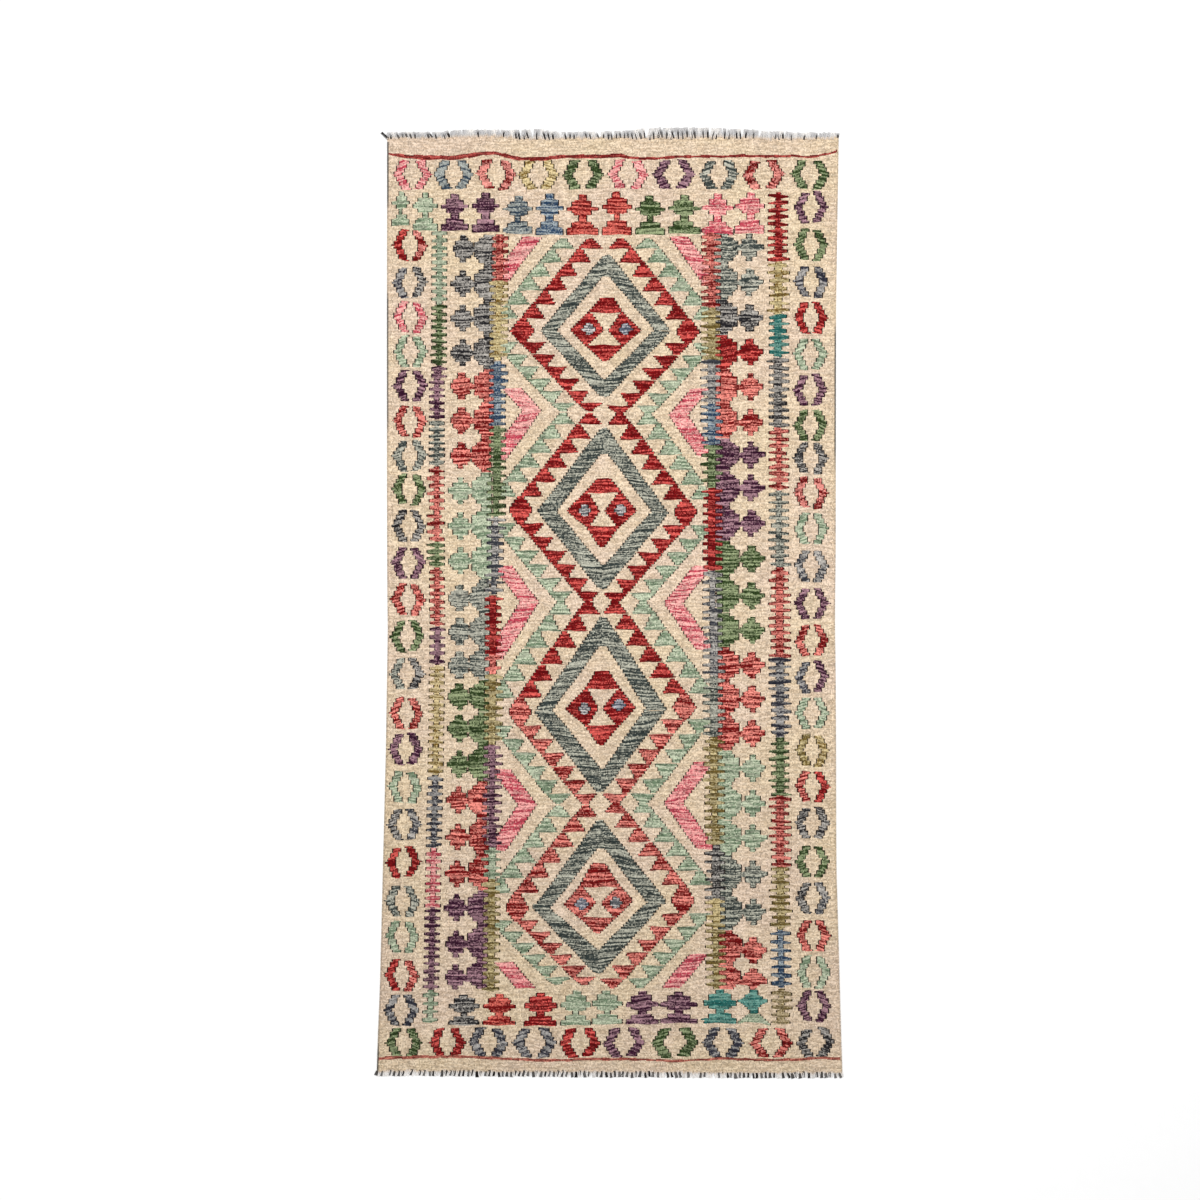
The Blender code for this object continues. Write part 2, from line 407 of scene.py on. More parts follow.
@dataclass(frozen=True)
class SideTree:
    """A chain of leaves that climbs beside the field, with small leaves on its outer side."""

    side: int  # -1 for the left chain, 1 for the right one
    trunk: Table  # its middle line, as rows of y and x
    twigs: Table  # the middle line of its small leaves
    rows: Table  # the middle of each leaf row, and its yarn
    leaf_height: float = 27.0
    leaf_half: float = 11.0
    leaf_rise: float = 13.0  # from a small leaf's top to its row's middle
    trunk_half: float = 12.2
    trunk_inner: float = 6.5  # from the trunk's line to its straight side by the comb
    ends: Point = (13.5, 14.0)  # how far the trunk goes on above the first row and below the last one
    neck_half: float = 2.6
    neck_drop: float = 1.0
    overlaps: Point = (3.0, 2.0)  # how far a neck reaches into the trunk and into the leaf
    stem_half: float = 2.6
    stem_height: float = 2.5
    stem_depth: float = 0.84  # how bright the stems and necks are beside the leaves
    tip: float = 13.2  # how far the right chain's leaves reach outwards
    end: float = 989.0

    def chart(self, chart: Chart) -> None:
        """Lays the chain, row by row."""
        places = [row[0] for row in self.rows]
        depth = self.stem_depth
        for i, (y, dye) in enumerate(self.rows):
            above = (places[i - 1] + y) / 2 if i else y - self.ends[0]
            below = (y + places[i + 1]) / 2 if i + 1 < len(places) else min(y + self.ends[1], self.end)
            trunk_x, twig_x = between(self.trunk, y), between(self.twigs, y)
            out = self.side * self.trunk_half
            trunk = [(trunk_x + out * share, above + (below - above) * down) for down, share in TRUNK_SHAPE]
            inner = trunk_x - self.side * self.trunk_inner
            chart.lay([(inner, above), *trunk, (inner, below)], dye)
            reach = trunk_x + self.side * (self.trunk_half - self.overlaps[0])
            neck = twig_x - self.side * (self.leaf_half - self.overlaps[1])
            left, right = sorted((reach, neck))
            drop = self.neck_drop
            chart.bar(left, y - self.neck_half + drop, right, y + self.neck_half + drop, dye, depth)
            height = min(self.leaf_height, self.end - y + self.leaf_rise)
            top, foot = y - self.leaf_rise, y + height - self.leaf_rise
            chart.lay(mirrored(LEAF_SHAPE, twig_x, top, height, self.leaf_half), dye)
            left, right = twig_x - self.stem_half, twig_x + self.stem_half
            chart.bar(left, top, right, y - (self.leaf_rise - self.stem_height), dye, depth)
            chart.bar(left, y + height - (self.leaf_rise + self.stem_height), right, foot, dye, depth)
            if self.side > 0:
                tip = twig_x + self.side * self.tip
                chart.bar(twig_x, y - self.neck_half, tip, y + self.neck_half, dye)


SIDE_TREES = (
    SideTree(
        side=-1,
        trunk=written("249 487.5, 420 486, 560 484, 800 481, 980 480.5"),
        twigs=written("249 463.7, 420 461.4, 560 460.1, 760 459.1, 873 457.1, 980 455.8"),
        rows=written(
            """248.5 SLATE, 283.5 SLATE, 318 SLATE, 352.5 SLATE, 385.5 CORAL, 420 CORAL, 455 CORAL,
            490 MINT, 525.5 MINT, 560.5 MINT, 597.5 TEAL_GREY, 631 TEAL_GREY, 664.5 TEAL_GREY,
            696 GREEN, 728 GREEN, 763.5 GREEN, 799.5 CORAL, 836.5 CORAL, 873 CORAL, 907 PURPLE,
            943 PURPLE, 977.5 PURPLE"""
        ),
    ),
    SideTree(
        side=1, trunk_inner=10.2,
        trunk=written("247 724.5, 450 725.5, 560 726, 770 727.5, 983 729"),
        twigs=written("247 749.2, 450 750.5, 560 751.4, 770 752.4, 983 753.4"),
        rows=written(
            """247 TEAL_GREY, 282 TEAL_GREY, 317.5 SLATE, 352 MADDER, 386.5 CORAL, 422 CORAL,
            454.5 PURPLE, 487.5 PURPLE, 523 PURPLE, 558.5 GREEN, 595.5 GREEN, 630 GREEN, 664.5 CORAL,
            698.5 CORAL, 733 CORAL, 767.5 MINT, 803 MINT, 837.5 MINT, 873.5 BAND_GREY, 911 BAND_GREY,
            949.5 CORAL, 981 CORAL"""
        ),
    ),
)


@dataclass(frozen=True)
class Comb:
    """An upright comb: a spine with short teeth on both sides, its colour changing on the way down."""

    top: float  # where the comb starts
    spine: Table  # its middle line, as rows of y and x
    # the foot of each colour, its number of teeth, how far they are moved as a share of their pitch, and
    # its yarn
    sections: Table
    tooth_reach: float  # how far the teeth reach to each side
    spine_half: float  # half of the spine's width
    tooth_half: float = 2.4  # half of a tooth's height where it leaves the spine
    tooth_depth: float = 0.8  # how bright the teeth are beside the spine
    stray: float = 0.35  # how far a tooth may lie off its place
    tilt: float = 0.6  # how much it may tilt
    thickness: Point = (0.85, 1.15)  # the range of its height
    length: Point = (0.9, 1.05)  # the range of its reach
    taper: Point = (0.6, 0.9)  # its height at its ends, and below the spine's middle

    def chart(self, chart: Chart) -> None:
        """Lays the comb, section by section."""
        above = self.top
        for foot, teeth, moved, dye in self.sections:
            spine = [(between(self.spine, y) - self.spine_half, y) for y in (above, foot)]
            spine += [(between(self.spine, y) + self.spine_half, y) for y in (foot, above)]
            chart.lay(spine, dye)
            pitch = (foot - above) / teeth
            for i in range(int(teeth)):
                y = above + pitch * (i + 0.5 + moved) + chart.rng.uniform(-self.stray, self.stray)
                self.tooth(chart, y, dye)
            above = foot

    def tooth(self, chart: Chart, y: float, dye: Dye) -> None:
        """Lays one tooth, which reaches to both sides and tapers on its upper edge."""
        middle = between(self.spine, y)
        rise = chart.rng.uniform(-self.tilt, self.tilt)
        thick = self.tooth_half * chart.rng.uniform(*self.thickness)
        left, right = (self.tooth_reach * chart.rng.uniform(*self.length) for _ in range(2))
        end, root = thick * self.taper[0], thick * self.taper[1]
        near = self.spine_half
        outline = [
            (middle - left, y - rise - end), (middle - near, y - rise / 3 - thick),
            (middle + near, y + rise / 3 - thick), (middle + right, y + rise - end),
            (middle + right, y + rise + end), (middle + near, y + rise / 3 + root),
            (middle - near, y - rise / 3 + root), (middle - left, y - rise + end),
        ]
        chart.lay(outline, dye, -rise / self.tooth_reach, self.tooth_depth)


COMBS = (
    Comb(
        top=232.0,
        spine=written(
            """240 439, 340 438.9, 400 437.4, 510 435.9, 610 436.5, 660 437.4, 740 436.6, 800 435.2,
            860 433.6, 950 432.2, 1015 430"""
        ),
        sections=written(
            """305 10 -0.3 MINT, 366 9 -0.1 GREEN, 420 8 0 PURPLE, 466 7 0 TEAL_GREY, 542 10 0.1 CORAL,
            567 4 0.05 GREEN, 626 8 0.15 CORAL, 665 5 0 PURPLE, 775 15 -0.05 OCHRE, 848 10 0.1 NAVY,
            907 8 0.3 PINK, 990 11 0 PURPLE, 1023 4 0.1 MINT"""
        ),
        tooth_reach=7.4, spine_half=2.45,
    ),
    Comb(
        top=234.0,
        spine=written("234 499.8, 283 498.8, 361 497.6, 514 496, 595 493.4, 745 492.4, 845 491.4, 991 490.4"),
        sections=written(
            """283 7 0.15 CORAL, 361 12 -0.4 GOLD, 426 9 0.25 DEEP_BLUE, 517 12 0.1 GREEN,
            595 10 -0.1 PALE_SLATE, 655 8 0.1 MADDER, 676 2 -0.2 CORAL, 745 9 -0.4 OLIVE,
            848 13 -0.15 PURPLE, 879 4 -0.05 MINT, 991 15 0.2 OLIVE"""
        ),
        tooth_reach=8.8, spine_half=3.3,
    ),
    Comb(
        top=233.0,
        spine=written("234 711, 446 711.3, 571 712.5, 735 713.8, 845 715, 989 716"),
        sections=written(
            """308 11 0.05 CORAL, 359 8 0.35 OLIVE, 404 6 0 PALE_SLATE, 446 6 -0.05 DEEP_BLUE,
            488 5 -0.35 GREEN, 571 11 -0.05 MADDER, 676 14 -0.05 PALE_SLATE, 737 8 0.1 TEAL_GREY,
            845 14 0.05 OLIVE, 898 6 0.45 SLATE, 929 4 0 AMBER, 989 8 -0.15 OLIVE"""
        ),
        tooth_reach=9.8, spine_half=3.4,
    ),
    Comb(
        top=192.0,
        spine=written("192 778.3, 430 778.3, 575 779.5, 780 780.1, 1023 781.2"),
        sections=written(
            """262 10 0.1 MADDER, 315 7 -0.05 GOLD, 357 6 -0.2 TURQUOISE, 428 10 0.05 SLATE,
            490 9 0.1 CORAL, 567 10 0.1 TEAL_GREY, 657 12 0.3 CORAL, 737 11 -0.1 NAVY, 795 8 0.45 GREEN,
            868 10 0.05 CORAL, 930 9 -0.35 OLIVE, 988 7 -0.05 DEEP_BLUE, 1023 5 0.3 BRONZE"""
        ),
        tooth_reach=9.5, spine_half=3.0,
    ),
)  # from left to right


EYE_SHAPE = written(
    """-0.3 -1, 0.35 -1, 0.4 -0.78, 0.66 -0.62, 0.7 -0.28, 1 -0.12, 1 0.3, 0.66 0.42, 0.45 0.78, 0.3 1,
    -0.3 1, -0.45 0.72, -0.66 0.46, -1 0.3, -1 -0.14, -0.7 -0.3, -0.64 -0.66"""
)


@dataclass(frozen=True)
class Medallion:
    """One of the field's large medallions: a band round a diamond with two eyes."""

    band: list[Point]  # the top, left, right and foot corners of the band's outer side
    hollow: list[Point]  # the same of its inner side
    heart: list[Point]  # the same of the inner diamond, whose top corner is cut off flat
    chest: tuple[float, float, float]  # the left and right end, and the y, of the line under the cap
    waist: tuple[float, float, float]  # the same of the line over the lower part
    dye: Dye  # the yarn of the diamond
    eyes: tuple[tuple[Point, Dye], ...]  # the middle of each eye and its yarn
    pick_slope: float = 0.11
    cap_half: float = 6.0
    foot_half: float = 2.0
    spread: Point = (2.6, 1.0)  # how far the cap and the foot reach past the line under or over them
    waist_half: float = 2.5
    blunt: Point = (1.5, 2.0)  # how the band's corners at the sides are cut off
    band_flats: Point = (2.4, 2.8)  # half of its cut-off corners at the top and the foot
    hollow_flats: Point = (4.0, 2.0)  # the same of its inner side
    eye_half: Point = (6.6, 6.0)

    @classmethod
    def read(cls, row: tuple) -> "Medallion":
        """Reads a medallion off a written row, whose yarns come after their eyes and at its end."""
        corners = list(zip(row[:24:2], row[1:24:2]))
        eyes = ((row[30:32], row[32]), (row[33:35], row[35]))
        return cls(corners[:4], corners[4:8], corners[8:], row[24:27], row[27:30], row[36], eyes)

    def chart(self, chart: Chart) -> None:
        """Lays the band, the diamond and the eyes."""
        self.chart_band(chart)
        top, left, right, foot = self.heart
        chest_left, chest_right, chest_y = self.chest
        waist_left, waist_right, waist_y = self.waist
        out, down = self.spread
        outline = [(top[0] - self.cap_half, top[1]), (top[0] + self.cap_half, top[1])]
        outline += [(chest_right + out, chest_y - down), right, (waist_right + out, waist_y + down)]
        outline += [(foot[0] + self.foot_half, foot[1]), (foot[0] - self.foot_half, foot[1])]
        outline += [(waist_left - out, waist_y + down), left, (chest_left - out, chest_y - down)]
        chart.lay(outline, self.dye)
        x, y = (left[0] + right[0]) / 2, (left[1] + right[1]) / 2
        waist = [(x + self.waist_half, y), (x - self.waist_half, y)]
        chart.lay([(chest_left, chest_y), (chest_right + 1, chest_y), *waist], Dye.GROUND)
        chart.lay([*waist[::-1], (waist_right + 1, waist_y), (waist_left, waist_y)], Dye.GROUND)
        wide, high = self.eye_half
        for (x, y), dye in self.eyes:
            chart.lay([(x + wide * a, y + high * b) for a, b in EYE_SHAPE], dye)

    def chart_band(self, chart: Chart) -> None:
        """Lays the band as four arms, each with its picks leaning its own way, and the ground in it."""
        top, left, right, foot = self.band
        middle_y = (left[1] + right[1]) / 2
        for end, start, slope in ((top, left, 1), (top, right, -1), (foot, left, -1), (foot, right, 1)):
            side, lower = -1 if start is left else 1, end is foot
            corner = (end[0] + side * self.band_flats[lower], end[1])
            blunt = (start[0] - side * self.blunt[0], start[1] + (self.blunt[1] if lower else -self.blunt[1]))
            arm = [end, corner, blunt, start, (start[0], middle_y), (end[0], middle_y)]
            chart.lay(arm, Dye.BAND_GREY, slope * self.pick_slope)
        top, left, right, foot = self.hollow
        above, below = self.hollow_flats
        hollow = [(top[0] - above, top[1]), (top[0] + above, top[1]), right]
        chart.lay(hollow + [(foot[0] + below, foot[1]), (foot[0] - below, foot[1]), left], Dye.GROUND)


MEDALLIONS = written(
    """607 255 541 331 670 331 604 397 606 277 557 330.5 655 330 604.5 379 607 298 571 330 641 331 605 361
    591 620 313 588 621 345 588.5 329 PALE_EYE 625 329 BLUE_EYE MADDER,
    604 428 538 511 668 513 602 589 604 454 556 511 652 511 603 565 603.5 478 567 511 637 511 602 547
    588 618 493 589 616 526 584.5 510.5 PALE_EYE 620 510 PALE_EYE MADDER,
    603 617 535 712 666 709 600 792 603 646 552 710 646 708 602 768.5 602 671 566 709 635 708 601 745
    588 617 689 588 616 725 584 708 PALE_EYE 618.5 705 BLUE_EYE MADDER,
    600 820 534 908 665 900 598 973 601 848 550 908 647 902 598 949 599 863 564 905 633 900 597 933
    582 617 887 583 613 917 581.5 903.5 BLUE_EYE 615.5 902.5 PALE_EYE CORAL"""
)


@dataclass(frozen=True)
class FieldRun:
    """One straight run of the field's zigzags, from a narrow row to a wide one."""

    narrow: Point  # where the run is nearest the field's middle line, on the left and on the right
    wide: Point  # where it is farthest from it, on the left and on the right
    red: Dye  # the yarn of the triangles nearest the middle
    pink: Dye  # the yarn of the plain band
    pink_reach: Point  # how far down or up from the narrow row the band reaches, on the left and on the right
    start: Point  # the y where the chains of triangles start, on the left and on the right
    last: Point  # the y of the last triangle's base, on the left and on the right

    @classmethod
    def read(cls, row: tuple) -> "FieldRun":
        """Reads a run off a written row."""
        return cls(row[:2], row[2:4], *row[4:6], row[6:8], row[8:10], row[10:])


@dataclass(frozen=True)
class Zigzags:
    """The parallel zigzags round the medallions: two chains of triangles and a plain band on each side."""

    MIDDLE: ClassVar[Table] = written("237 604.5, 510 603.5, 712 602.5, 821 600, 988 596.5")
    LEFT_DRIFT: ClassVar[Table] = written(
        "440 0, 530 -1.2, 600 -1.2, 650 -2.2, 700 -1, 850 -0.8, 900 0.5, 950 1.8"
    )
    RIGHT_DRIFT: ClassVar[Table] = written(
        """330 1.8, 390 2.4, 440 1.8, 480 0.5, 540 -0.3, 595 -1.8, 625 -1.8, 660 -0.5, 700 0, 740 -0.8,
        790 0.4, 840 2.4, 940 2.8, 988 1.8"""
    )
    RUNS: ClassVar[Table] = written(
        """237 237 331 332 MADDER PINK 47 46 235 235 319 320,
        411 415 331 332 MADDER PINK 23 26 415 418 342 343,
        411 415 510 512 MADDER PINK 51 42 410 410 497 500,
        602 603 510 512 MADDER PINK 36 37 605 606 523 525,
        602 603 712 707 MADDER PINK 58 47 598 598 698 694,
        805 803 712 707 CORAL ROSE 36 41 807 808 725 719,
        805 803 908 900 CORAL ROSE 46 46 802 799 893 885,
        988 988 908 900 CORAL ROSE 26 34 988 991 920 913"""
    )
    COMB_LEFT: ClassVar[Table] = written("234 502, 361 500, 514 499, 595 497, 845 495, 991 494")
    COMB_RIGHT: ClassVar[Table] = written("234 708, 446 708.5, 571 709.5, 735 711, 845 712, 989 713")

    triangles: int = 6
    near: float = 14.0  # from the middle line to the first triangle
    far: float = 84.0  # from the middle line to the diamond in the turn
    first_out: float = 0.5  # how much farther out the first triangle's tip lies
    last_in: float = 13.0  # how far inside the turn the last one's tip lies
    turn: float = 11.2  # half of the width of the diamond in the turn
    turn_in: float = 2.2  # how far the diamond lies inside the turn
    blunt: Point = (2.6, 0.9)  # half of the diamond's blunt ends: above and below, and at the sides
    overlap: float = 1.0  # how far the diamond reaches into the triangles above and below it
    neck: float = 3.0  # from the row where a run starts to the tip of its first triangle
    tip: Point = (0.8, 3.6)  # how far a triangle's tip reaches outwards and inwards
    first_tip: Point = (1.6, 3.8)  # the same where a run starts
    tip_step: Point = (0.6, 2.5)  # the size of the step below the tip, inwards and down
    base_half: float = 12.0
    base_lift: float = 0.3
    base_step: Point = (1.6, 2.6)  # the size of the step above the base's inner end
    stray: Point = (-1.0, 1.2)  # how far the base's inner end may stray
    lean: float = 0.08  # how much a triangle's picks may lean
    rim: float = 1.2  # height of the darker line along a triangle's base, painted shadow between the rows
    # how bright that line is: painted shadow
    rim_depth: float = 0.62
    mint_out: float = 27.5  # from the first chain to the second
    band_out: float = 49.0  # from the first chain to the plain band's inner side
    band_width: float = 18.5
    band_slope: float = 0.1

    def chart(self, chart: Chart) -> None:
        """Lays every run on both sides."""
        runs = [FieldRun.read(row) for row in self.RUNS]
        sides = (-1, 1)
        for run in runs:
            for side in sides:
                self.band(chart, side, run)
        for run in runs:
            for side in sides:
                self.chain(chart, side, run, self.mint_out, Dye.MINT)
                self.chain(chart, side, run, 0.0, run.red)
        for above, below in zip(runs[::2], runs[1::2]):
            for side in sides:
                self.diamond(chart, side, above, below)

    def diamond(self, chart: Chart, side: int, above: FieldRun, below: FieldRun) -> None:
        """Lays the diamond in the turn between two runs."""
        place = max(side, 0)
        y, top, foot = above.wide[place], above.last[place], below.last[place]
        x = self.axis(side, y) + side * (self.far - self.turn_in)
        flat, steep = self.blunt
        right = [(x + flat, top - self.overlap), (x + self.turn, y - steep)]
        right += [(x + self.turn, y + steep), (x + flat, foot + self.overlap)]
        chart.lay(right + [(2 * x - a, b) for a, b in reversed(right)], below.red)

    def axis(self, side: int, y: float) -> float:
        """Where the line lies that one side of the zigzags is measured from."""
        return between(self.MIDDLE, y) + between(self.LEFT_DRIFT if side < 0 else self.RIGHT_DRIFT, y)

    def clipped(self, outline: list[Point], y: float) -> list[Point]:
        """Cuts an outline off at the combs on both sides."""
        kept = kept_right_of(outline, between(self.COMB_LEFT, y), 1)
        return kept_right_of(kept, between(self.COMB_RIGHT, y), -1) if kept else kept

    def chain(self, chart: Chart, side: int, run: FieldRun, out: float, dye: Dye) -> None:
        """Lays one run of a chain of triangles, each with a line of painted shadow along its base.

        Args:
            chart: The chart.
            side: -1 for the left of the field, 1 for the right.
            run: The run, with the rows where the chain starts and ends.
            out: How far outside the first chain it runs.
            dye: Its yarn.
        """
        place = max(side, 0)
        start, last = run.start[place], run.last[place]
        way = 1 if last > start else -1
        pitch = abs(last - start) / self.triangles
        gap = (self.far - self.near - self.last_in) / (self.triangles - 1)
        for i in range(self.triangles):
            near_y = start + way * (pitch * i if i else self.neck)
            base_y = start + way * pitch * (i + 1)
            x = self.axis(side, near_y) + side * (self.near + self.first_out + out + gap * i)
            inner = x - side * (self.base_half + chart.rng.uniform(*self.stray))
            outer = x + side * self.base_half
            foot = base_y - way * self.base_lift
            tip_out, tip_in = self.tip if i else self.first_tip
            outline = [
                (x + side * tip_out, near_y), (x - side * tip_in, near_y),
                (x - side * (tip_in + self.tip_step[0]), near_y + way * self.tip_step[1]),
                (inner + side * self.base_step[0], base_y - way * self.base_step[1]),
                (inner, foot), (outer, foot),
            ]
            slope = chart.rng.uniform(-self.lean, self.lean)
            edge = foot - way * self.rim
            rim = [(inner + side, foot), (outer, foot), (outer, edge), (inner + side, edge)]
            for corners, depth in ((outline, 1.0), (rim, self.rim_depth)):
                corners = self.clipped(corners, base_y)
                if len(corners) > 2:
                    chart.lay(corners, dye, slope, depth)

    def band(self, chart: Chart, side: int, run: FieldRun) -> None:
        """Lays one run of the plain band on one side."""
        place = max(side, 0)
        narrow, wide = run.narrow[place], run.wide[place]
        way = 1 if wide > narrow else -1
        near = self.axis(side, narrow) + side * (self.near + self.band_out)
        far = self.axis(side, wide) + side * (self.far + self.band_out)
        width = side * self.band_width
        outline = [(near, narrow), (far, wide), (far + width, wide), (near + width, narrow)]
        outline = self.clipped(outline, narrow)
        reach = narrow + way * run.pink_reach[place]
        turned = kept_right_of([(y, x) for x, y in outline], reach, -way)
        chart.lay([(x, y) for y, x in turned], run.pink, -side * way * self.band_slope)


@dataclass(frozen=True)
class RedLines:
    """The thin wavy lines across the plain bands at both ends."""

    UPPER: ClassVar[Table] = written(
        """386 153, 400 156, 420 157.5, 455 158, 480 154.5, 490 152.7, 500 154, 508 157.5, 520 159,
        540 159, 570 156.5, 600 156.5, 620 155.5, 630 158, 650 159, 680 157, 730 156.5, 743 155.5,
        760 157, 790 156, 805 157.5, 820 156, 830 153.5, 839 150.5"""
    )
    LOWER: ClassVar[Table] = written(
        """376 1058.5, 390 1057.5, 440 1056.3, 480 1056.8, 510 1059, 530 1059.5, 560 1060, 590 1059,
        640 1059, 672 1061, 720 1058.3, 780 1060, 820 1057.8, 843 1058"""
    )
    UPPER_THICKNESS: ClassVar[Table] = written(
        "386 1.8, 426 4.6, 516 3.8, 628 3.5, 645 2.7, 780 2.5, 839 1.9"
    )
    LOWER_THICKNESS: ClassVar[Table] = written("376 3, 620 2.7, 665 2, 700 2.5, 843 2.8")
    step: float = 9.0

    def chart(self, chart: Chart) -> None:
        """Lays both lines in lengths that join."""
        upper = (self.UPPER, self.UPPER_THICKNESS, Dye.LINE_RED)
        lower = (self.LOWER, self.LOWER_THICKNESS, Dye.RUST)
        for rows, thickness, dye in (upper, lower):
            for x in np.arange(rows[0][0], rows[-1][0], self.step).tolist():
                next_x = min(x + self.step, rows[-1][0])
                ends = [(at, between(rows, at), between(thickness, at) / 2) for at in (x, next_x)]
                outline = [(at, y - half) for at, y, half in ends]
                outline += [(at, y + half) for at, y, half in reversed(ends)]
                chart.lay(outline, dye, 0.0, chart.rng.uniform(0.85, 1.1))


def weavers_chart() -> Chart:
    """Charts the whole rug, from the ground up."""
    chart = Chart()
    TreeRows().chart(chart)
    Borders().chart(chart)
    for tree in SIDE_TREES:
        tree.chart(chart)
    Zigzags().chart(chart)
    for row in MEDALLIONS:
        Medallion.read(row).chart(chart)
    for comb in COMBS:
        comb.chart(chart)
    RedLines().chart(chart)
    return chart


# The cloth


@dataclass
class Outline:
    """The rug's outline and lie, as the frame's cloth has them."""

    sides: dict[int, np.ndarray]  # for the left and right edge, rows of y and x
    ends: dict[int, np.ndarray]  # for the lower and upper end, rows of x and y
    heights: np.ndarray  # the height of the cloth's upper face on a grid of points
    xs: np.ndarray  # the grid's places across
    ys: np.ndarray  # the grid's places along

    GRID: ClassVar[Point] = (0.010, 0.010)
    SOFTENING: ClassVar[int] = 3  # grid steps over which the frame's flat cells are smoothed

    @classmethod
    def read(cls, node: Object) -> "Outline":
        """Reads the outline off the frame's cloth.

        Args:
            node: The frame's cloth.

        Returns:
            The outline, with the heights smoothed between the frame's cells.
        """
        cloth = bmesh.new()
        cloth.from_mesh(node.data)
        bmesh.ops.remove_doubles(cloth, verts=cloth.verts[:], dist=1e-5)
        cloth.normal_update()
        tree = BVHTree.FromBMesh(cloth)
        rims: tuple[dict[int, set[Point]], ...] = ({-1: set(), 1: set()}, {-1: set(), 1: set()})
        for edge in cloth.edges:
            if sorted(face.normal.z > 0.5 for face in edge.link_faces) != [False, True]:
                continue
            first, second = (vertex.co for vertex in edge.verts)
            value = 0 if abs(first.y - second.y) > abs(first.x - second.x) else 1
            sign = -1 if (first[value] + second[value]) / 2 < 0 else 1
            for corner in (first, second):
                rims[value][sign].add((round(corner[1 - value], 6), round(corner[value], 6)))
        cloth.free()
        sides, ends = ({sign: np.array(sorted(rim)) for sign, rim in rims[value].items()} for value in (0, 1))
        lo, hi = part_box(node.name)
        xs = np.arange(lo.x, hi.x + cls.GRID[0], cls.GRID[0])
        ys = np.arange(lo.y, hi.y + cls.GRID[1], cls.GRID[1])
        heights = np.full((len(ys), len(xs)), np.nan)
        for j, y in enumerate(ys):
            for i, x in enumerate(xs):
                hit, _, _, _ = tree.ray_cast(Vector((x, y, 1.0)), Vector((0, 0, -1)))
                if hit is not None:
                    heights[j, i] = hit.z
        return cls(sides, ends, cls.softened(heights), xs, ys)

    @classmethod
    def softened(cls, heights: np.ndarray) -> np.ndarray:
        """Fills a height grid out to its corners and smooths it."""
        floor = float(np.nanmin(heights))
        filled = np.where(np.isnan(heights), floor, heights)
        kernel = np.hanning(2 * cls.SOFTENING + 3)[1:-1]
        kernel /= kernel.sum()
        for axis in (0, 1):
            pad = [(0, 0), (0, 0)]
            pad[axis] = (cls.SOFTENING, cls.SOFTENING)
            padded = np.pad(filled, pad, mode="edge")
            filled = np.apply_along_axis(lambda row: np.convolve(row, kernel, mode="valid"), axis, padded)
        return filled

    def side(self, side: int, y: float | np.ndarray) -> float | np.ndarray:
        """Where the left (-1) or right (1) edge lies at y."""
        return np.interp(y, *self.sides[side].T)

    def end(self, end: int, x: float | np.ndarray) -> float | np.ndarray:
        """Where the lower (-1) or upper (1) end lies at x."""
        return np.interp(x, *self.ends[end].T)

    def height(self, x: np.ndarray, y: np.ndarray) -> np.ndarray:
        """The height of the cloth's upper face at each point."""
        across = np.clip((x - self.xs[0]) / self.GRID[0], 0, len(self.xs) - 1.001)
        along = np.clip((y - self.ys[0]) / self.GRID[1], 0, len(self.ys) - 1.001)
        i = across.astype(int)
        j = along.astype(int)
        u = across - i
        v = along - j
        lower = self.heights[j, i] * (1 - u) + self.heights[j, i + 1] * u
        upper = self.heights[j + 1, i] * (1 - u) + self.heights[j + 1, i + 1] * u
        return lower * (1 - v) + upper * v


@dataclass
class WarpColumn:
    """The picks over one warp: where each patch of colour starts, from the upper end down."""

    starts: list[float]  # the y of each patch's start; the first is the cloth's upper end
    patches: list[int]  # the number of each patch, or -1 for the ground
    foot: float  # the y of the cloth's lower end

    SHORTEST: ClassVar[float] = 0.4

    def lay(self, top: float, foot: float, patch: int) -> None:
        """Covers a stretch with a patch."""
        top = round(max(top, self.starts[0] + self.SHORTEST), 2)
        foot = round(min(foot, self.foot - self.SHORTEST), 2)
        if foot - top < self.SHORTEST:
            return
        first = bisect_left(self.starts, top - self.SHORTEST / 2)
        last = bisect_right(self.starts, foot + self.SHORTEST / 2)
        starts, patches = self.starts[last:], self.patches[last:]
        if not starts or starts[0] - foot > self.SHORTEST:
            starts, patches = [foot, *starts], [self.patches[last - 1], *patches]
        first = max(first, 1)
        self.starts[first:] = [top, *starts]
        self.patches[first:] = [patch, *patches]

    def patch_at(self, y: float) -> int:
        """The patch at a y."""
        return self.patches[bisect_right(self.starts, y) - 1]

    def tidy(self, cuts: Iterable[float]) -> None:
        """Joins what is alike and makes the cuts that let the cloth bend."""
        starts, patches = [self.starts[0]], [self.patches[0]]
        for start, patch in zip(self.starts[1:], self.patches[1:]):
            if patch != patches[-1]:
                starts.append(start)
                patches.append(patch)
        self.starts, self.patches = starts, patches
        for cut in (round(float(cut), 2) for cut in cuts):
            place = bisect_right(self.starts, cut)
            near = [self.starts[place - 1]] + self.starts[place : place + 1]
            if all(abs(cut - start) > 2 * self.SHORTEST for start in near):
                self.starts.insert(place, cut)
                self.patches.insert(place, self.patches[place - 1])


class Slit(NamedTuple):
    """A slit beside a warp, where two colours turn back from each other: a thin dark face of painted shadow,
    not an opening.
    """

    column: int  # the column that it lies in
    side: int  # 0 where it lies along the column's left side, 1 along its right one
    top: float  # the y of its upper end
    foot: float  # the y of its lower end
    width: float  # its width, as a share of a warp's
    point: float  # how long its two pointed ends are


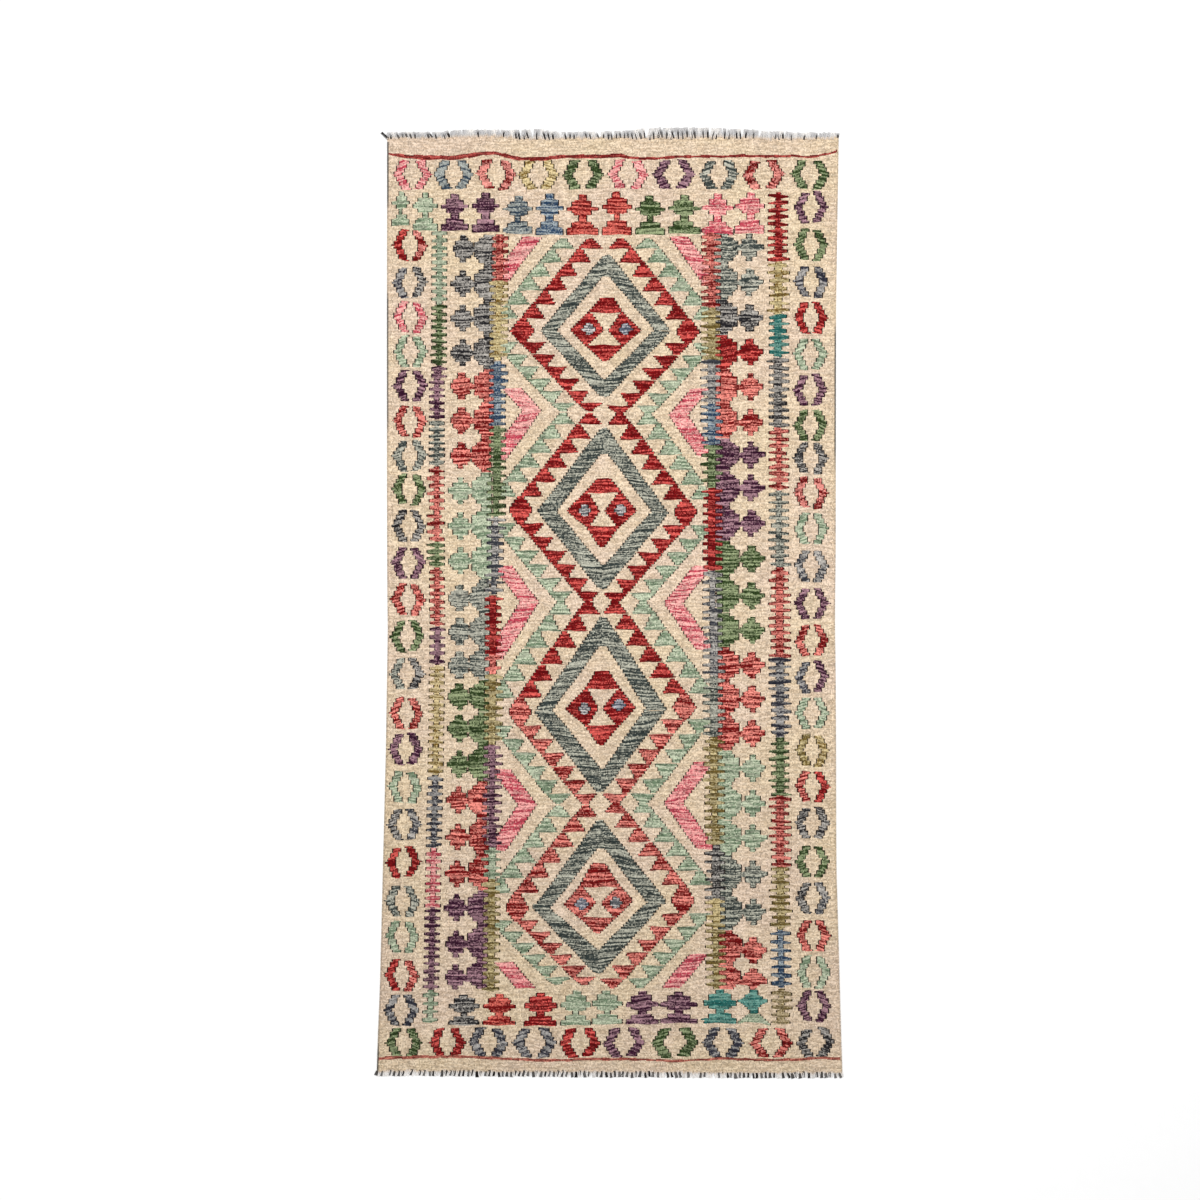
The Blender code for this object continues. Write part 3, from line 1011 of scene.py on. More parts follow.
@dataclass
class Face:
    """One face of the cloth: the upper one, or the under one, which shows the same pattern."""

    warps_each: int  # how many warps each of its columns takes together
    columns: list[WarpColumn]  # its columns
    lines: list[list[float]]  # the ordered y of the points on each line between columns
    slits: list[Slit] = field(default_factory=list)  # the slits in it

    def points(self) -> list[Point]:
        """All its points as warp number and y: those on the lines, then two for each slit."""
        found = [(float(k * self.warps_each), y) for k, line in enumerate(self.lines) for y in line]
        for slit in self.slits:
            inwards = slit.width if slit.side == 0 else -slit.width
            warp = (slit.column + slit.side + inwards) * self.warps_each
            found += [(warp, slit.top + slit.point), (warp, slit.foot - slit.point)]
        return found

    def offsets(self) -> list[int]:
        """The number of the first point of each line, and of the first slit."""
        firsts = [0]
        for line in self.lines:
            firsts.append(firsts[-1] + len(line))
        return firsts

    def polygons(self) -> tuple[list[list[int]], list[int]]:
        """The face's polygons.

        Returns:
            The points of each polygon, down its left side and up its right one, and its patch number. A
            slit's patch number is SLIT_SHADOW_PATCH.
        """
        firsts = self.offsets()
        beside: dict[tuple[int, int], list[tuple[Slit, int]]] = {}
        polygons: list[list[int]] = []
        patches: list[int] = []
        for number, slit in enumerate(self.slits):
            extra = firsts[-1] + 2 * number
            beside.setdefault((slit.column, slit.side), []).append((slit, extra))
            k = slit.column + slit.side
            along = self.span(self.lines[k], firsts[k], slit.top, slit.foot)
            polygon = along + [extra + 1, extra]
            polygons.append(polygon if slit.side == 0 else polygon[::-1])
            patches.append(SLIT_SHADOW_PATCH)
        for k, column in enumerate(self.columns):
            edges = column.starts[1:]
            for top, foot, patch in zip([None] + edges, edges + [None], column.patches):
                sides = []
                for side in (0, 1):
                    line = (self.lines[k + side], firsts[k + side])
                    along = self.span(*line, top, foot)
                    for slit, extra in beside.get((k, side), ()):
                        if (top is None or slit.top >= top) and (foot is None or slit.foot <= foot):
                            hidden = self.span(*line, slit.top, slit.foot)
                            start, end = along.index(hidden[0]), along.index(hidden[-1])
                            along = along[: start + 1] + [extra, extra + 1] + along[end:]
                    sides.append(along)
                polygons.append(sides[0] + sides[1][::-1])
                patches.append(patch)
        return polygons, patches

    @staticmethod
    def span(line: list[float], first: int, top: float | None, foot: float | None) -> list[int]:
        """The points of a line from one y to another, both included; None is the cloth's end."""
        start = 0 if top is None else bisect_left(line, top - 0.001, 1)
        end = len(line) if foot is None else bisect_right(line, foot + 0.001, 0, len(line) - 1)
        return list(range(first + start, first + end))


SLIT_SHADOW_PATCH = -2  # the patch number of a slit's dark face, which is painted shadow
PLAIN = -1  # the patch number of the ground


@dataclass
class WovenCloth:
    """The woven cloth: one sheet with the chart woven into it, warp by warp."""

    outline: Outline  # the rug's outline and lie
    warps: int = 190  # how many pairs of warps there are
    thickness: float = 0.0029  # the cloth's thickness
    bend_step: float = 18.0  # how far apart the cuts are that let it bend, in chart squares
    unevenness: float = 0.00022  # how much its surface rises and falls between the swells
    pick_wander: float = 0.45  # how far the end of a patch strays, in chart squares
    slit_length: float = 1.5  # the shortest slit, in chart squares
    slit_width: float = 0.55  # the widest slit, as a share of a warp's width
    slit_share: Point = (0.6, 1.0)  # the narrowest and the widest slit, as shares of that width
    slit_point: float = 0.35  # how long a slit's pointed ends are, in chart squares
    wander_rates: Point = (0.3, 0.7)  # how fast the stray of a patch's ends changes from warp to warp
    floor_gap: float = 0.00002  # how far its lowest points keep off the floor
    sharp_angle: float = 50.0  # from which angle on an edge stays sharp, in degrees
    lift: float = 0.4  # what is added to the unevenness, as a share of it

    # the unevenness as rows of fineness, place in the noise and share
    SWELLS: ClassVar[Table] = written("9 3 0.65, 24 8 0.35")

    def edge_square(self, side: int, y: np.ndarray) -> np.ndarray:
        """The left or right edge, in chart squares, at chart y."""
        along = (CHART_ORIGIN[1] - y) * SQUARE
        return self.outline.side(side, along) / SQUARE + CHART_ORIGIN[0]

    def warp_at(self, outline: Iterable[Point]) -> np.ndarray:
        """Turns an outline's chart corners into rows of warp number and chart y."""
        corners = np.array(outline, dtype=float)
        left = self.edge_square(-1, corners[:, 1])
        right = self.edge_square(1, corners[:, 1])
        corners[:, 0] = (corners[:, 0] - left) / (right - left) * self.warps
        return corners

    def end_square(self, end: int, warp: float) -> float:
        """The chart y of the cloth's end at a warp."""
        line = CHART_TOP if end > 0 else CHART_FOOT
        left, right = (float(self.edge_square(side, line)) for side in (-1, 1))
        x = (left + (right - left) * warp / self.warps - CHART_ORIGIN[0]) * SQUARE
        return CHART_ORIGIN[1] - float(self.outline.end(end, x)) / SQUARE

    def weave(self, chart: Chart, warps_each: int) -> Face:
        """Lays the chart on the warps.

        Args:
            chart: The pattern.
            warps_each: How many warps each column takes together.

        Returns:
            One face of the cloth.
        """
        count = self.warps // warps_each
        columns = []
        for k in range(count):
            middle = (k + 0.5) * warps_each
            columns.append(WarpColumn([self.end_square(1, middle)], [PLAIN], self.end_square(-1, middle)))
        for number, patch in enumerate(chart.patches):
            corners = self.warp_at(patch.outline)
            corners[:, 0] /= warps_each
            stray = random.Random(number)
            wave = [(stray.uniform(*self.wander_rates), stray.uniform(0, math.tau)) for _ in range(2)]
            first = max(int(math.floor(corners[:, 0].min())), 0)
            last = min(int(math.ceil(corners[:, 0].max())), count)
            for k in range(first, last):
                crossings = self.crossings(corners, k + 0.5)
                shifts = [self.pick_wander * math.sin(k * warps_each * rate + phase) for rate, phase in wave]
                for top, foot in zip(crossings[::2], crossings[1::2]):
                    columns[k].lay(top + shifts[0], foot + shifts[1], number)
        cuts = np.arange(CHART_TOP + self.bend_step, CHART_FOOT - self.bend_step / 2, self.bend_step)
        for column in columns:
            column.tidy(cuts)
        points: list[set[float]] = [set() for _ in range(count + 1)]
        for k, column in enumerate(columns):
            for line in points[k : k + 2]:
                line.update(column.starts[1:])
        face = Face(warps_each, columns, [])
        if warps_each == 1:
            face.slits = self.find_slits(chart, columns)
        for k, line in enumerate(points):
            ends = [self.end_square(end, k * warps_each) for end in (1, -1)]
            face.lines.append([ends[0]] + sorted(line) + [ends[1]])
        return face

    def find_slits(self, chart: Chart, columns: list[WarpColumn]) -> list[Slit]:
        """Finds where two colours meet along a warp for long enough to leave a slit.

        Args:
            chart: The pattern.
            columns: The columns, from left to right.

        Returns:
            The slits, each inside one patch of the column that it lies in.
        """
        dyes = {PLAIN: Dye.GROUND}
        dyes.update(enumerate(patch.dye for patch in chart.patches))
        chance = random.Random("slits")
        slits = []
        for k in range(1, len(columns)):
            pair = (columns[k - 1], columns[k])
            stops = sorted({y for column in pair for y in column.starts[1:]})
            for top, foot in zip(stops, stops[1:]):
                left, right = (dyes[column.patch_at((top + foot) / 2)] for column in pair)
                if left is right or foot - top < self.slit_length:
                    continue
                width = self.slit_width * chance.uniform(*self.slit_share)
                place = (k - 1, 1) if left is Dye.GROUND else (k, 0)
                slits.append(Slit(*place, top, foot, width, self.slit_point))
        return slits

    @staticmethod
    def crossings(corners: np.ndarray, warp: float) -> list[float]:
        """Where an outline crosses the middle of a column, in order down the rug."""
        start = corners
        end = np.roll(corners, -1, axis=0)
        across = (start[:, 0] <= warp) != (end[:, 0] <= warp)
        share = (warp - start[across, 0]) / (end[across, 0] - start[across, 0])
        return sorted((start[across, 1] + (end[across, 1] - start[across, 1]) * share).tolist())

    def make(self, chart: Chart) -> Object:
        """Builds the cloth's mesh.

        Args:
            chart: The pattern.

        Returns:
            The cloth, closed, with its yarns in face attributes.
        """
        upper, under = self.weave(chart, 1), self.weave(chart, 2)
        polygons, patches = upper.polygons()
        points = upper.points()
        first_under = len(points)
        under_polygons, under_patches = under.polygons()
        points += under.points()
        polygons += [[first_under + point for point in reversed(polygon)] for polygon in under_polygons]
        patches += under_patches
        rim = self.rim(upper, under, first_under)
        polygons += rim
        patches += [PLAIN] * len(rim)
        warp, down = np.array(points).T
        x, y = self.on_floor(warp, down)
        z = self.outline.height(x, y) + self.rise(x, y)
        z[first_under:] -= self.thickness
        places = np.stack([x, y, np.maximum(z, self.floor_gap)], 1)
        mesh = bpy.data.meshes.new("kilim_cloth_woven")
        mesh.from_pydata(places.tolist(), [], polygons)
        self.dye(mesh, chart, patches, warp)
        mesh.polygons.foreach_set("use_smooth", [True] * len(polygons))
        mesh.set_sharp_from_angle(angle=math.radians(self.sharp_angle))
        mesh.update()
        log.info("cloth: %d polygons, %d slits, %d points", len(polygons), len(upper.slits), len(points))
        return put("kilim_cloth_woven", mesh)

    def rim(self, upper: Face, under: Face, first_under: int) -> list[list[int]]:
        """The faces round the cloth's edge, between points that both its faces have.

        Args:
            upper: The upper face.
            under: The under face.
            first_under: The number of the under face's first point.

        Returns:
            The polygons, turned outwards.
        """
        tops, feet = upper.offsets(), under.offsets()
        polygons = []
        for upper_line, under_line, flip in ((0, 0, False), (-1, -1, True)):
            above, below = upper.lines[upper_line], under.lines[under_line]
            shared = [below[0]] + [y for y in below[1:-1] if y in set(above)] + [below[-1]]
            first_above = tops[0] if upper_line == 0 else tops[-2]
            first_below = first_under + (feet[0] if under_line == 0 else feet[-2])
            for top, foot in zip(shared, shared[1:]):
                ends = (None if top == below[0] else top, None if foot == below[-1] else foot)
                high = upper.span(above, first_above, *ends)
                low = under.span(below, first_below, *ends)
                polygon = high[::-1] + low
                polygons.append(polygon[::-1] if flip else polygon)
        step = under.warps_each
        for k in range(len(under.columns)):
            for last, flip in ((False, True), (True, False)):
                above = [tops[k * step + i + last] - last for i in range(step + 1)]
                below = [first_under + feet[k + i + last] - last for i in range(2)]
                polygon = above[::-1] + below
                polygons.append(polygon[::-1] if flip else polygon)
        return [[int(point) for point in polygon] for polygon in polygons]

    def on_floor(self, warp: np.ndarray, y: np.ndarray) -> tuple[np.ndarray, np.ndarray]:
        """Turns warp numbers and chart y into metres on the floor."""
        left, right = self.edge_square(-1, y), self.edge_square(1, y)
        x = left + (right - left) * warp / self.warps
        return (x - CHART_ORIGIN[0]) * SQUARE, (CHART_ORIGIN[1] - y) * SQUARE

    def rise(self, x: np.ndarray, y: np.ndarray) -> np.ndarray:
        """A soft unevenness of the surface."""
        heights = []
        for a, b in zip(x.tolist(), y.tolist()):
            swells = (
                share * noise.noise(Vector((a * fine, b * fine, place)))
                for fine, place, share in self.SWELLS
            )
            heights.append(sum(swells))
        return self.unevenness * (np.array(heights) + self.lift)

    @staticmethod
    def dye(mesh: Mesh, chart: Chart, numbers: list[int], warp: np.ndarray) -> None:
        """Writes each face's yarn, and each point's warp, to the mesh.

        Args:
            mesh: The cloth's mesh.
            chart: The pattern.
            numbers: The patch number of each face.
            warp: The warp number of each point.
        """
        # a slit's face takes the dark colour of its painted shadow
        known = {PLAIN: Patch((), Dye.GROUND, 0.0, 0.0), SLIT_SHADOW_PATCH: Patch((), Dye.SLIT, 0.0, 0.0)}
        patches = [known.get(number) or chart.patches[number] for number in numbers]
        tones = {dye: (to_linear(dye.value.dark, LIGHT), to_linear(dye.value.light, LIGHT)) for dye in Dye}
        for name, index in (("dark_shade", 0), ("light_shade", 1)):
            layer = mesh.attributes.new(name, "FLOAT_COLOR", "FACE")
            layer.data.foreach_set("color", [c for patch in patches for c in tones[patch.dye][index]])
        columns = {
            "streak_seed": [patch.seed for patch in patches],
            "pick_slope": [patch.slope for patch in patches],
            "light_share": [patch.dye.value.share for patch in patches],
            "streak_run": [patch.dye.value.run for patch in patches],
            "depth": [patch.depth for patch in patches],
            "is_ground": [float(patch.dye is Dye.GROUND) for patch in patches],
        }
        for name, values in columns.items():
            layer = mesh.attributes.new(name, "FLOAT", "FACE")
            layer.data.foreach_set("value", values)
        layer = mesh.attributes.new("warp", "FLOAT", "POINT")
        layer.data.foreach_set("value", warp.astype(float).tolist())


# Shader and node helpers


class Wire:
    """A value in a tree of nodes, which can be used in sums, products and differences."""

    def __init__(self, nodes: "NodeTree", socket: NodeSocket) -> None:
        """Wraps a socket of one of the tree's nodes."""
        self.nodes = nodes
        self.socket = socket

    def __add__(self, other: "Value") -> "Wire":
        """This value plus another."""
        return self.nodes.maths("ADD", self, other)

    __radd__ = __add__

    def __mul__(self, other: "Value") -> "Wire":
        """This value times another."""
        return self.nodes.maths("MULTIPLY", self, other)

    __rmul__ = __mul__

    def __sub__(self, other: "Value") -> "Wire":
        """This value less another."""
        return self.nodes.maths("SUBTRACT", self, other)

    def __rsub__(self, other: float) -> "Wire":
        """A number less this value."""
        return self.nodes.maths("SUBTRACT", other, self)

    def __truediv__(self, other: "Value") -> "Wire":
        """This value over another."""
        return self.nodes.maths("DIVIDE", self, other)


Value = Wire | float
Settings = dict[str, object]


class NodeTree:
    """The nodes of a material or of a piece's geometry."""

    def __init__(self, tree: bpy.types.NodeTree) -> None:
        """Takes the tree to build in."""
        self.tree = tree

    def node(self, kind: str, settings: Settings | None = None, **sockets: object) -> Node:
        """Adds any node.

        Args:
            kind: The node's type.
            settings: Its settings, which are made first.
            **sockets: Values, wires or lists of wires, by identifier with spaces as underscores.

        Returns:
            The node.
        """
        made = self.tree.nodes.new(kind)
        for name, value in (settings or {}).items():
            setattr(made, name, value)
        for name, value in sockets.items():
            target = next(s for s in made.inputs if s.identifier.replace(" ", "_") == name)
            if isinstance(value, (Wire, list)):
                for wire in value if isinstance(value, list) else [value]:
                    self.tree.links.new(wire.socket, target)
            else:
                target.default_value = value
        return made

    def output(self, made: Node, name: str = "") -> Wire:
        """One of a node's outputs by identifier, or its first one."""
        return Wire(self, next(s for s in made.outputs if name in ("", s.identifier)))

    def wire(self, kind: str, settings: Settings | None = None, **sockets: object) -> Wire:
        """Adds any node for its first output."""
        return self.output(self.node(kind, settings, **sockets))

    def maths(self, operation: str, *values: Value) -> Wire:
        """Adds a Math node."""
        sockets = dict(zip(("Value", "Value_001"), values))
        return self.wire("ShaderNodeMath", {"operation": operation}, **sockets)

    def vector_maths(self, operation: str, **sockets: object) -> Wire:
        """Adds a Vector Math node."""
        return self.wire("ShaderNodeVectorMath", {"operation": operation}, **sockets)

    def vector(self, x: Value, y: Value, z: Value = 0.0) -> Wire:
        """Joins three values."""
        return self.wire("ShaderNodeCombineXYZ", X=x, Y=y, Z=z)


class ShaderNodes(NodeTree):
    """The nodes of one material."""

    def __init__(self, name: str) -> None:
        """Starts a material with its shader."""
        self.material = bpy.data.materials.new(name)
        self.material.use_nodes = True
        super().__init__(self.material.node_tree)
        self.shader = self.tree.nodes["Principled BSDF"]

    def attribute(self, name: str, output: str = "Fac") -> Wire:
        """Reads an attribute of the mesh."""
        return self.output(self.node("ShaderNodeAttribute", {"attribute_name": name}), output)

    def noise(self, place: Wire, scale: float, detail: float = 0.0) -> Wire:
        """Adds a soft noise, mostly from 0.2 to 0.8."""
        return self.wire("ShaderNodeTexNoise", Vector=place, Scale=scale, Detail=detail, Roughness=0.55)

    def ramp(self, value: Wire, start: Value, end: Value, low: Value = 0.0, high: float = 1.0) -> Wire:
        """Maps a value from one range to another, clamped."""
        sockets = {"Value": value, "From_Min": start, "From_Max": end, "To_Min": low, "To_Max": high}
        return self.wire("ShaderNodeMapRange", {"clamp": True}, **sockets)

    def mix(self, share: Value, first: Wire | tuple, second: Wire | tuple, blend: str = "MIX") -> Wire:
        """Mixes two colours."""
        settings = {"data_type": "RGBA", "blend_type": blend}
        made = self.node("ShaderNodeMix", settings, Factor_Float=share, A_Color=first, B_Color=second)
        return self.output(made, "Result_Color")

    def scaled(self, colour: Wire, factor: Wire) -> Wire:
        """Brightens or darkens a colour by a factor."""
        return self.vector_maths("SCALE", Vector=colour, Scale=factor)

    def place(self) -> list[Wire]:
        """The object's own x, y and z."""
        texture = self.output(self.node("ShaderNodeTexCoord"), "Object")
        split = self.node("ShaderNodeSeparateXYZ", Vector=texture)
        return [self.output(split, axis) for axis in "XYZ"]

    def bump(self, height: Wire, strength: float, distance: float) -> None:
        """Raises the surface by a height, through the shader's normal."""
        normal = self.wire("ShaderNodeBump", Height=height, Strength=strength, Distance=distance)
        self.tree.links.new(normal.socket, self.shader.inputs["Normal"])

    def finish(self, colour: Wire, **uniform: float) -> Material:
        """Ends the material with its base colour and the values that are the same all over.

        Args:
            colour: The base colour.
            **uniform: Values for the shader's own sockets, by name with spaces as underscores.

        Returns:
            The material.
        """
        self.tree.links.new(colour.socket, self.shader.inputs["Base Color"])
        for name, value in uniform.items():
            self.shader.inputs[name.replace("_", " ")].default_value = value
        return self.material


@dataclass(frozen=True)
class WoolWeave:
    """The finish of the woven wool: streaky yarns, heathered, packed over thick warps."""

    warp_pitch: float = 0.0042  # how far apart the warps are
    pick_pitch: float = 0.0013  # how far apart the picks are that show over one warp
    relief: float = 0.00045  # how high a pick stands over one warp
    heather: float = 0.31  # how much the yarn's shade changes from bead to bead
    fleck: float = 0.22  # how far a bead may be from its streak towards the yarn's other shade
    bead_height: float = 1.25  # how high a bead of one shade is, in chart squares
    waviness: float = 7.0  # how much the picks rise and fall, in chart squares
    streaks: Point = (0.02, 0.66)  # how fine the streaks are, across and along
    sharpness: float = 0.09  # half of the step from one shade to the other
    crease_shade: float = 0.56  # how dark the painted shade is in the thin creases where groups of picks meet
    crease_width: float = 0.065  # how wide those lines are
    creases: Point = (0.04, 0.28)  # how fine they are, across and along
    # the grey of the painted shadow along the selvedges
    edge_shadow_grey: Srgb = (84, 84, 82)
    strength: float = 0.75  # how much of the relief shows
    roundness: float = 0.6  # how full the ribs over the warps are, where 1 is a sine
    between_beads: float = 0.55  # how high the picks are between two beads

    # how much more than a motif's the ground's streaks are fine across, its flecks are weak and the painted
    # shade in its creases is pale
    GROUND: ClassVar[Place] = (0.06, 0.2, 0.3)
    YELLOWED: ClassVar[tuple[float, ...]] = (1.0, 0.985, 0.90, 1.0)
    BROWNED: ClassVar[tuple[float, ...]] = (0.985, 0.95, 0.96, 1.0)
    WEAR: ClassVar[tuple[float, ...]] = (-1.05, 0.1, 0.84, 1.0)  # painted light falloff, darker towards the lower left: from the lower end up, y, y, shade, shade
    SHINE: ClassVar[dict[str, float]] = {
        "Roughness": 0.92, "Specular_IOR_Level": 0.06, "Sheen_Weight": 0.05, "Sheen_Roughness": 0.6,
    }

    def patterned(self) -> Material:
        """The wool of the cloth, whose mesh carries its yarns and warps as attributes."""
        nodes = ShaderNodes("wool_weave_patterned")
        x, y, _ = nodes.place()
        across, down = x * (1 / SQUARE), y * (1 / SQUARE)
        warp = nodes.attribute("warp") * 2.0
        is_ground = nodes.attribute("is_ground")
        bead = self.bead_shade(nodes, warp, down + 400.0)  # clear of the numbers that heather the yarn
        colour = self.yarn_colour(nodes, across, down, bead, is_ground)
        nodes.bump(self.beads(nodes, warp, y), self.strength, self.relief)
        return self.worn(nodes, colour, warp, is_ground, (x, y, down))

    def plain(self) -> Material:
        """The ground's wool round the selvedges, mixed with a grey where their points say so, as painted
        shadow along the rug's edges.
        """
        nodes = ShaderNodes("wool_weave_plain")
        x, y, z = nodes.place()
        across, down = x * (1 / SQUARE), y * (1 / SQUARE)
        shade = nodes.noise(nodes.vector(across * 0.2, down * 0.5, z * 300), 1.0, 2.0)
        dark, light, grey = (to_linear(tone, LIGHT) for tone in (*Dye.GROUND.value[:2], self.edge_shadow_grey))
        colour = nodes.mix(nodes.ramp(shade, 0.3, 0.7), dark, light)
        # painted shadow along the rug's edges, where the selvedge's points ask for it
        colour = nodes.mix(nodes.attribute("worn"), colour, grey)
        return self.worn(nodes, colour, x * (1 / self.warp_pitch), 1.0, (x, y, down))

    def yarn_colour(self, nodes: ShaderNodes, across: Wire, down: Wire, bead: Wire, is_ground: Wire) -> Wire:
        """The streaks of each patch's yarn, with painted shade in thin creases between groups of picks.

        Args:
            nodes: The material's nodes.
            across: Chart squares across.
            down: Chart squares along.
            bead: A number of its own for each bead, from 0 to 1.
            is_ground: 1 on the ground and 0 on a motif.

        Returns:
            The colour of the yarn at each point.
        """
        names = ("streak_seed", "streak_run", "light_share", "pick_slope", "depth")
        seed, run, share, slope, depth = (nodes.attribute(name) for name in names)
        finer, weaker, paler = self.GROUND
        wave = nodes.noise(nodes.vector(across * 0.03, down * 0.03, 4.0), 1.0, 1.0)
        pick = down - slope * across + wave * self.waviness
        wide, high = self.streaks
        place = nodes.vector(across * (is_ground * finer + wide) + seed * 3.7, pick / run * high, seed)
        flecked = nodes.noise(place, 1.0, 1.5) + (bead - 0.5) * (self.fleck * (1.0 - is_ground * weaker))
        middle = 0.68 - share * 0.36
        light = nodes.ramp(flecked, middle - self.sharpness, middle + self.sharpness)
        colour = nodes.mix(light, *(nodes.attribute(name, "Color") for name in ("dark_shade", "light_shade")))
        # painted shade in the thin creases where groups of picks meet
        wide, high = self.creases
        place = nodes.vector(across * wide + seed * 1.3, pick * high, seed + 5.0)
        level = nodes.maths("ABSOLUTE", nodes.noise(place, 1.0, 1.0) - 0.5)
        crease_shade = nodes.ramp(level, 0.0, self.crease_width, is_ground * paler + self.crease_shade, 1.0)
        return nodes.scaled(colour, crease_shade * depth)

    def bead_shade(self, nodes: ShaderNodes, warp: Wire, down: Wire) -> Wire:
        """A random number from 0 to 1 for each bead of yarn."""
        column = nodes.maths("FLOOR", warp)
        odd = nodes.maths("MODULO", column, 2.0)
        row = nodes.maths("FLOOR", down / self.bead_height + odd * 0.5)
        settings = {"noise_dimensions": "2D"}
        made = nodes.node("ShaderNodeTexWhiteNoise", settings, Vector=nodes.vector(column, row))
        return nodes.output(made, "Value")

    def worn(self, nodes: ShaderNodes, colour: Wire, warp: Wire, is_ground: Value, place: tuple) -> Material:
        """Ends the material: heathered bead by bead, pinker, yellower or browner with age, and darker towards
        the lower left as a painted light falloff.

        Args:
            nodes: The material's nodes.
            colour: The yarn's colour.
            warp: The number of the warp.
            is_ground: 1 on the ground and 0 on a motif.
            place: The object's x and y, and the chart squares along.

        Returns:
            The material.
        """
        x, y, down = place
        shade = self.bead_shade(nodes, warp, down)
        colour = nodes.scaled(colour, nodes.ramp(shade, 0.0, 1.0, 1 - self.heather, 1 + self.heather))
        wide = nodes.noise(nodes.vector(x, y * 0.8, 2.0), 5.5, 4.0)
        warm = nodes.mix(nodes.ramp(wide, 0.38, 0.62), self.YELLOWED, self.BROWNED)
        aged = nodes.mix(is_ground, colour, nodes.mix(1.0, colour, warm, "MULTIPLY"))
        # painted light falloff: the wool is darker towards the lower left end
        painted_falloff = nodes.ramp(y + x * 0.25, *self.WEAR)
        return nodes.finish(nodes.scaled(aged, painted_falloff), **self.SHINE)

    def beads(self, nodes: ShaderNodes, warp: Wire, y: Wire) -> Wire:
        """The height of the picks: a bead over each warp, and every second warp half a pick lower."""
        rib = nodes.maths("ABSOLUTE", nodes.maths("SINE", warp * math.pi))
        odd = nodes.maths("MODULO", nodes.maths("FLOOR", warp), 2.0)
        pick = y * (1 / self.pick_pitch) + odd * 0.5
        bead = nodes.maths("ABSOLUTE", nodes.maths("SINE", pick * math.pi))
        full = nodes.maths("POWER", rib, self.roundness)
        return full * (self.between_beads + bead * (1 - self.between_beads))


@dataclass(frozen=True)
class CottonWarp:
    """The finish of the fringe: undyed cotton, with dark strands between the clean ones that paint the shade
    in the gaps between the locks.
    """

    cream: Srgb = (240, 224, 208)
    clean: Srgb = (254, 250, 246)
    grey: Srgb = (216, 214, 214)
    # the painted shade of the gaps between the locks, carried by dark strands
    painted_gap_shade: Srgb = (30, 24, 23)
    fineness: Point = (900.0, 60.0)  # of the yarn's shading, and of the patches that are greyer
    greyer: Point = (0.38, 0.55)
    creamy: Point = (0.1, 0.45)  # from where to where along a lock the cream fades
    # where along the upper fringe the painted gap shade fades out
    soil_ends: Point = (0.5, 0.9)
    shading: Point = (0.9, 1.04)
    relief: float = 0.0002

    def make(self) -> Material:
        """Builds the material."""
        nodes = ShaderNodes("cotton_warp_plied")
        x, y, z = nodes.place()
        fine = nodes.noise(nodes.vector(x, y * 0.35, z), self.fineness[0], 1.0)
        wide = nodes.noise(nodes.vector(x, y * 0.2, z), self.fineness[1], 1.0)
        tones = (self.cream, self.clean, self.grey, self.painted_gap_shade)
        cream, clean, grey, painted_gap_shade = (to_linear(tone, LIGHT) for tone in tones)
        names = ("along", "greying", "strand_soil", "soil", "stray")
        along, greying, strand_soil, soil, stray = (nodes.attribute(name) for name in names)
        tip = nodes.mix(greying * nodes.ramp(wide, *self.greyer), clean, grey)
        pale = nodes.mix(nodes.ramp(along, *self.creamy), cream, tip)
        reach = nodes.ramp(along * greying, *self.soil_ends, 1.0, 0.0)
        # painted shade of the gaps between locks, and the real dark stray thread
        gap_shade_and_thread = nodes.maths("MAXIMUM", strand_soil * soil * reach, stray)
        colour = nodes.scaled(nodes.mix(gap_shade_and_thread, pale, painted_gap_shade), nodes.ramp(fine, 0.3, 0.7, *self.shading))
        nodes.bump(fine, 0.4, self.relief)
        return nodes.finish(colour, Roughness=0.88, Specular_IOR_Level=0.15)


@dataclass(frozen=True)
class PaleFloor:
    """The finish of the plain pale floor."""

    tone: float = 0.94
    change: float = 0.01

    def make(self) -> Material:
        """Builds the material."""
        nodes = ShaderNodes("pale_floor")
        x, y, _ = nodes.place()
        dark, light = ((self.tone + change,) * 3 + (1.0,) for change in (-self.change, self.change))
        grain = nodes.mix(nodes.noise(nodes.vector(x, y), 40.0, 2.0), dark, light)
        return nodes.finish(grain, Roughness=0.9, Specular_IOR_Level=0.0)


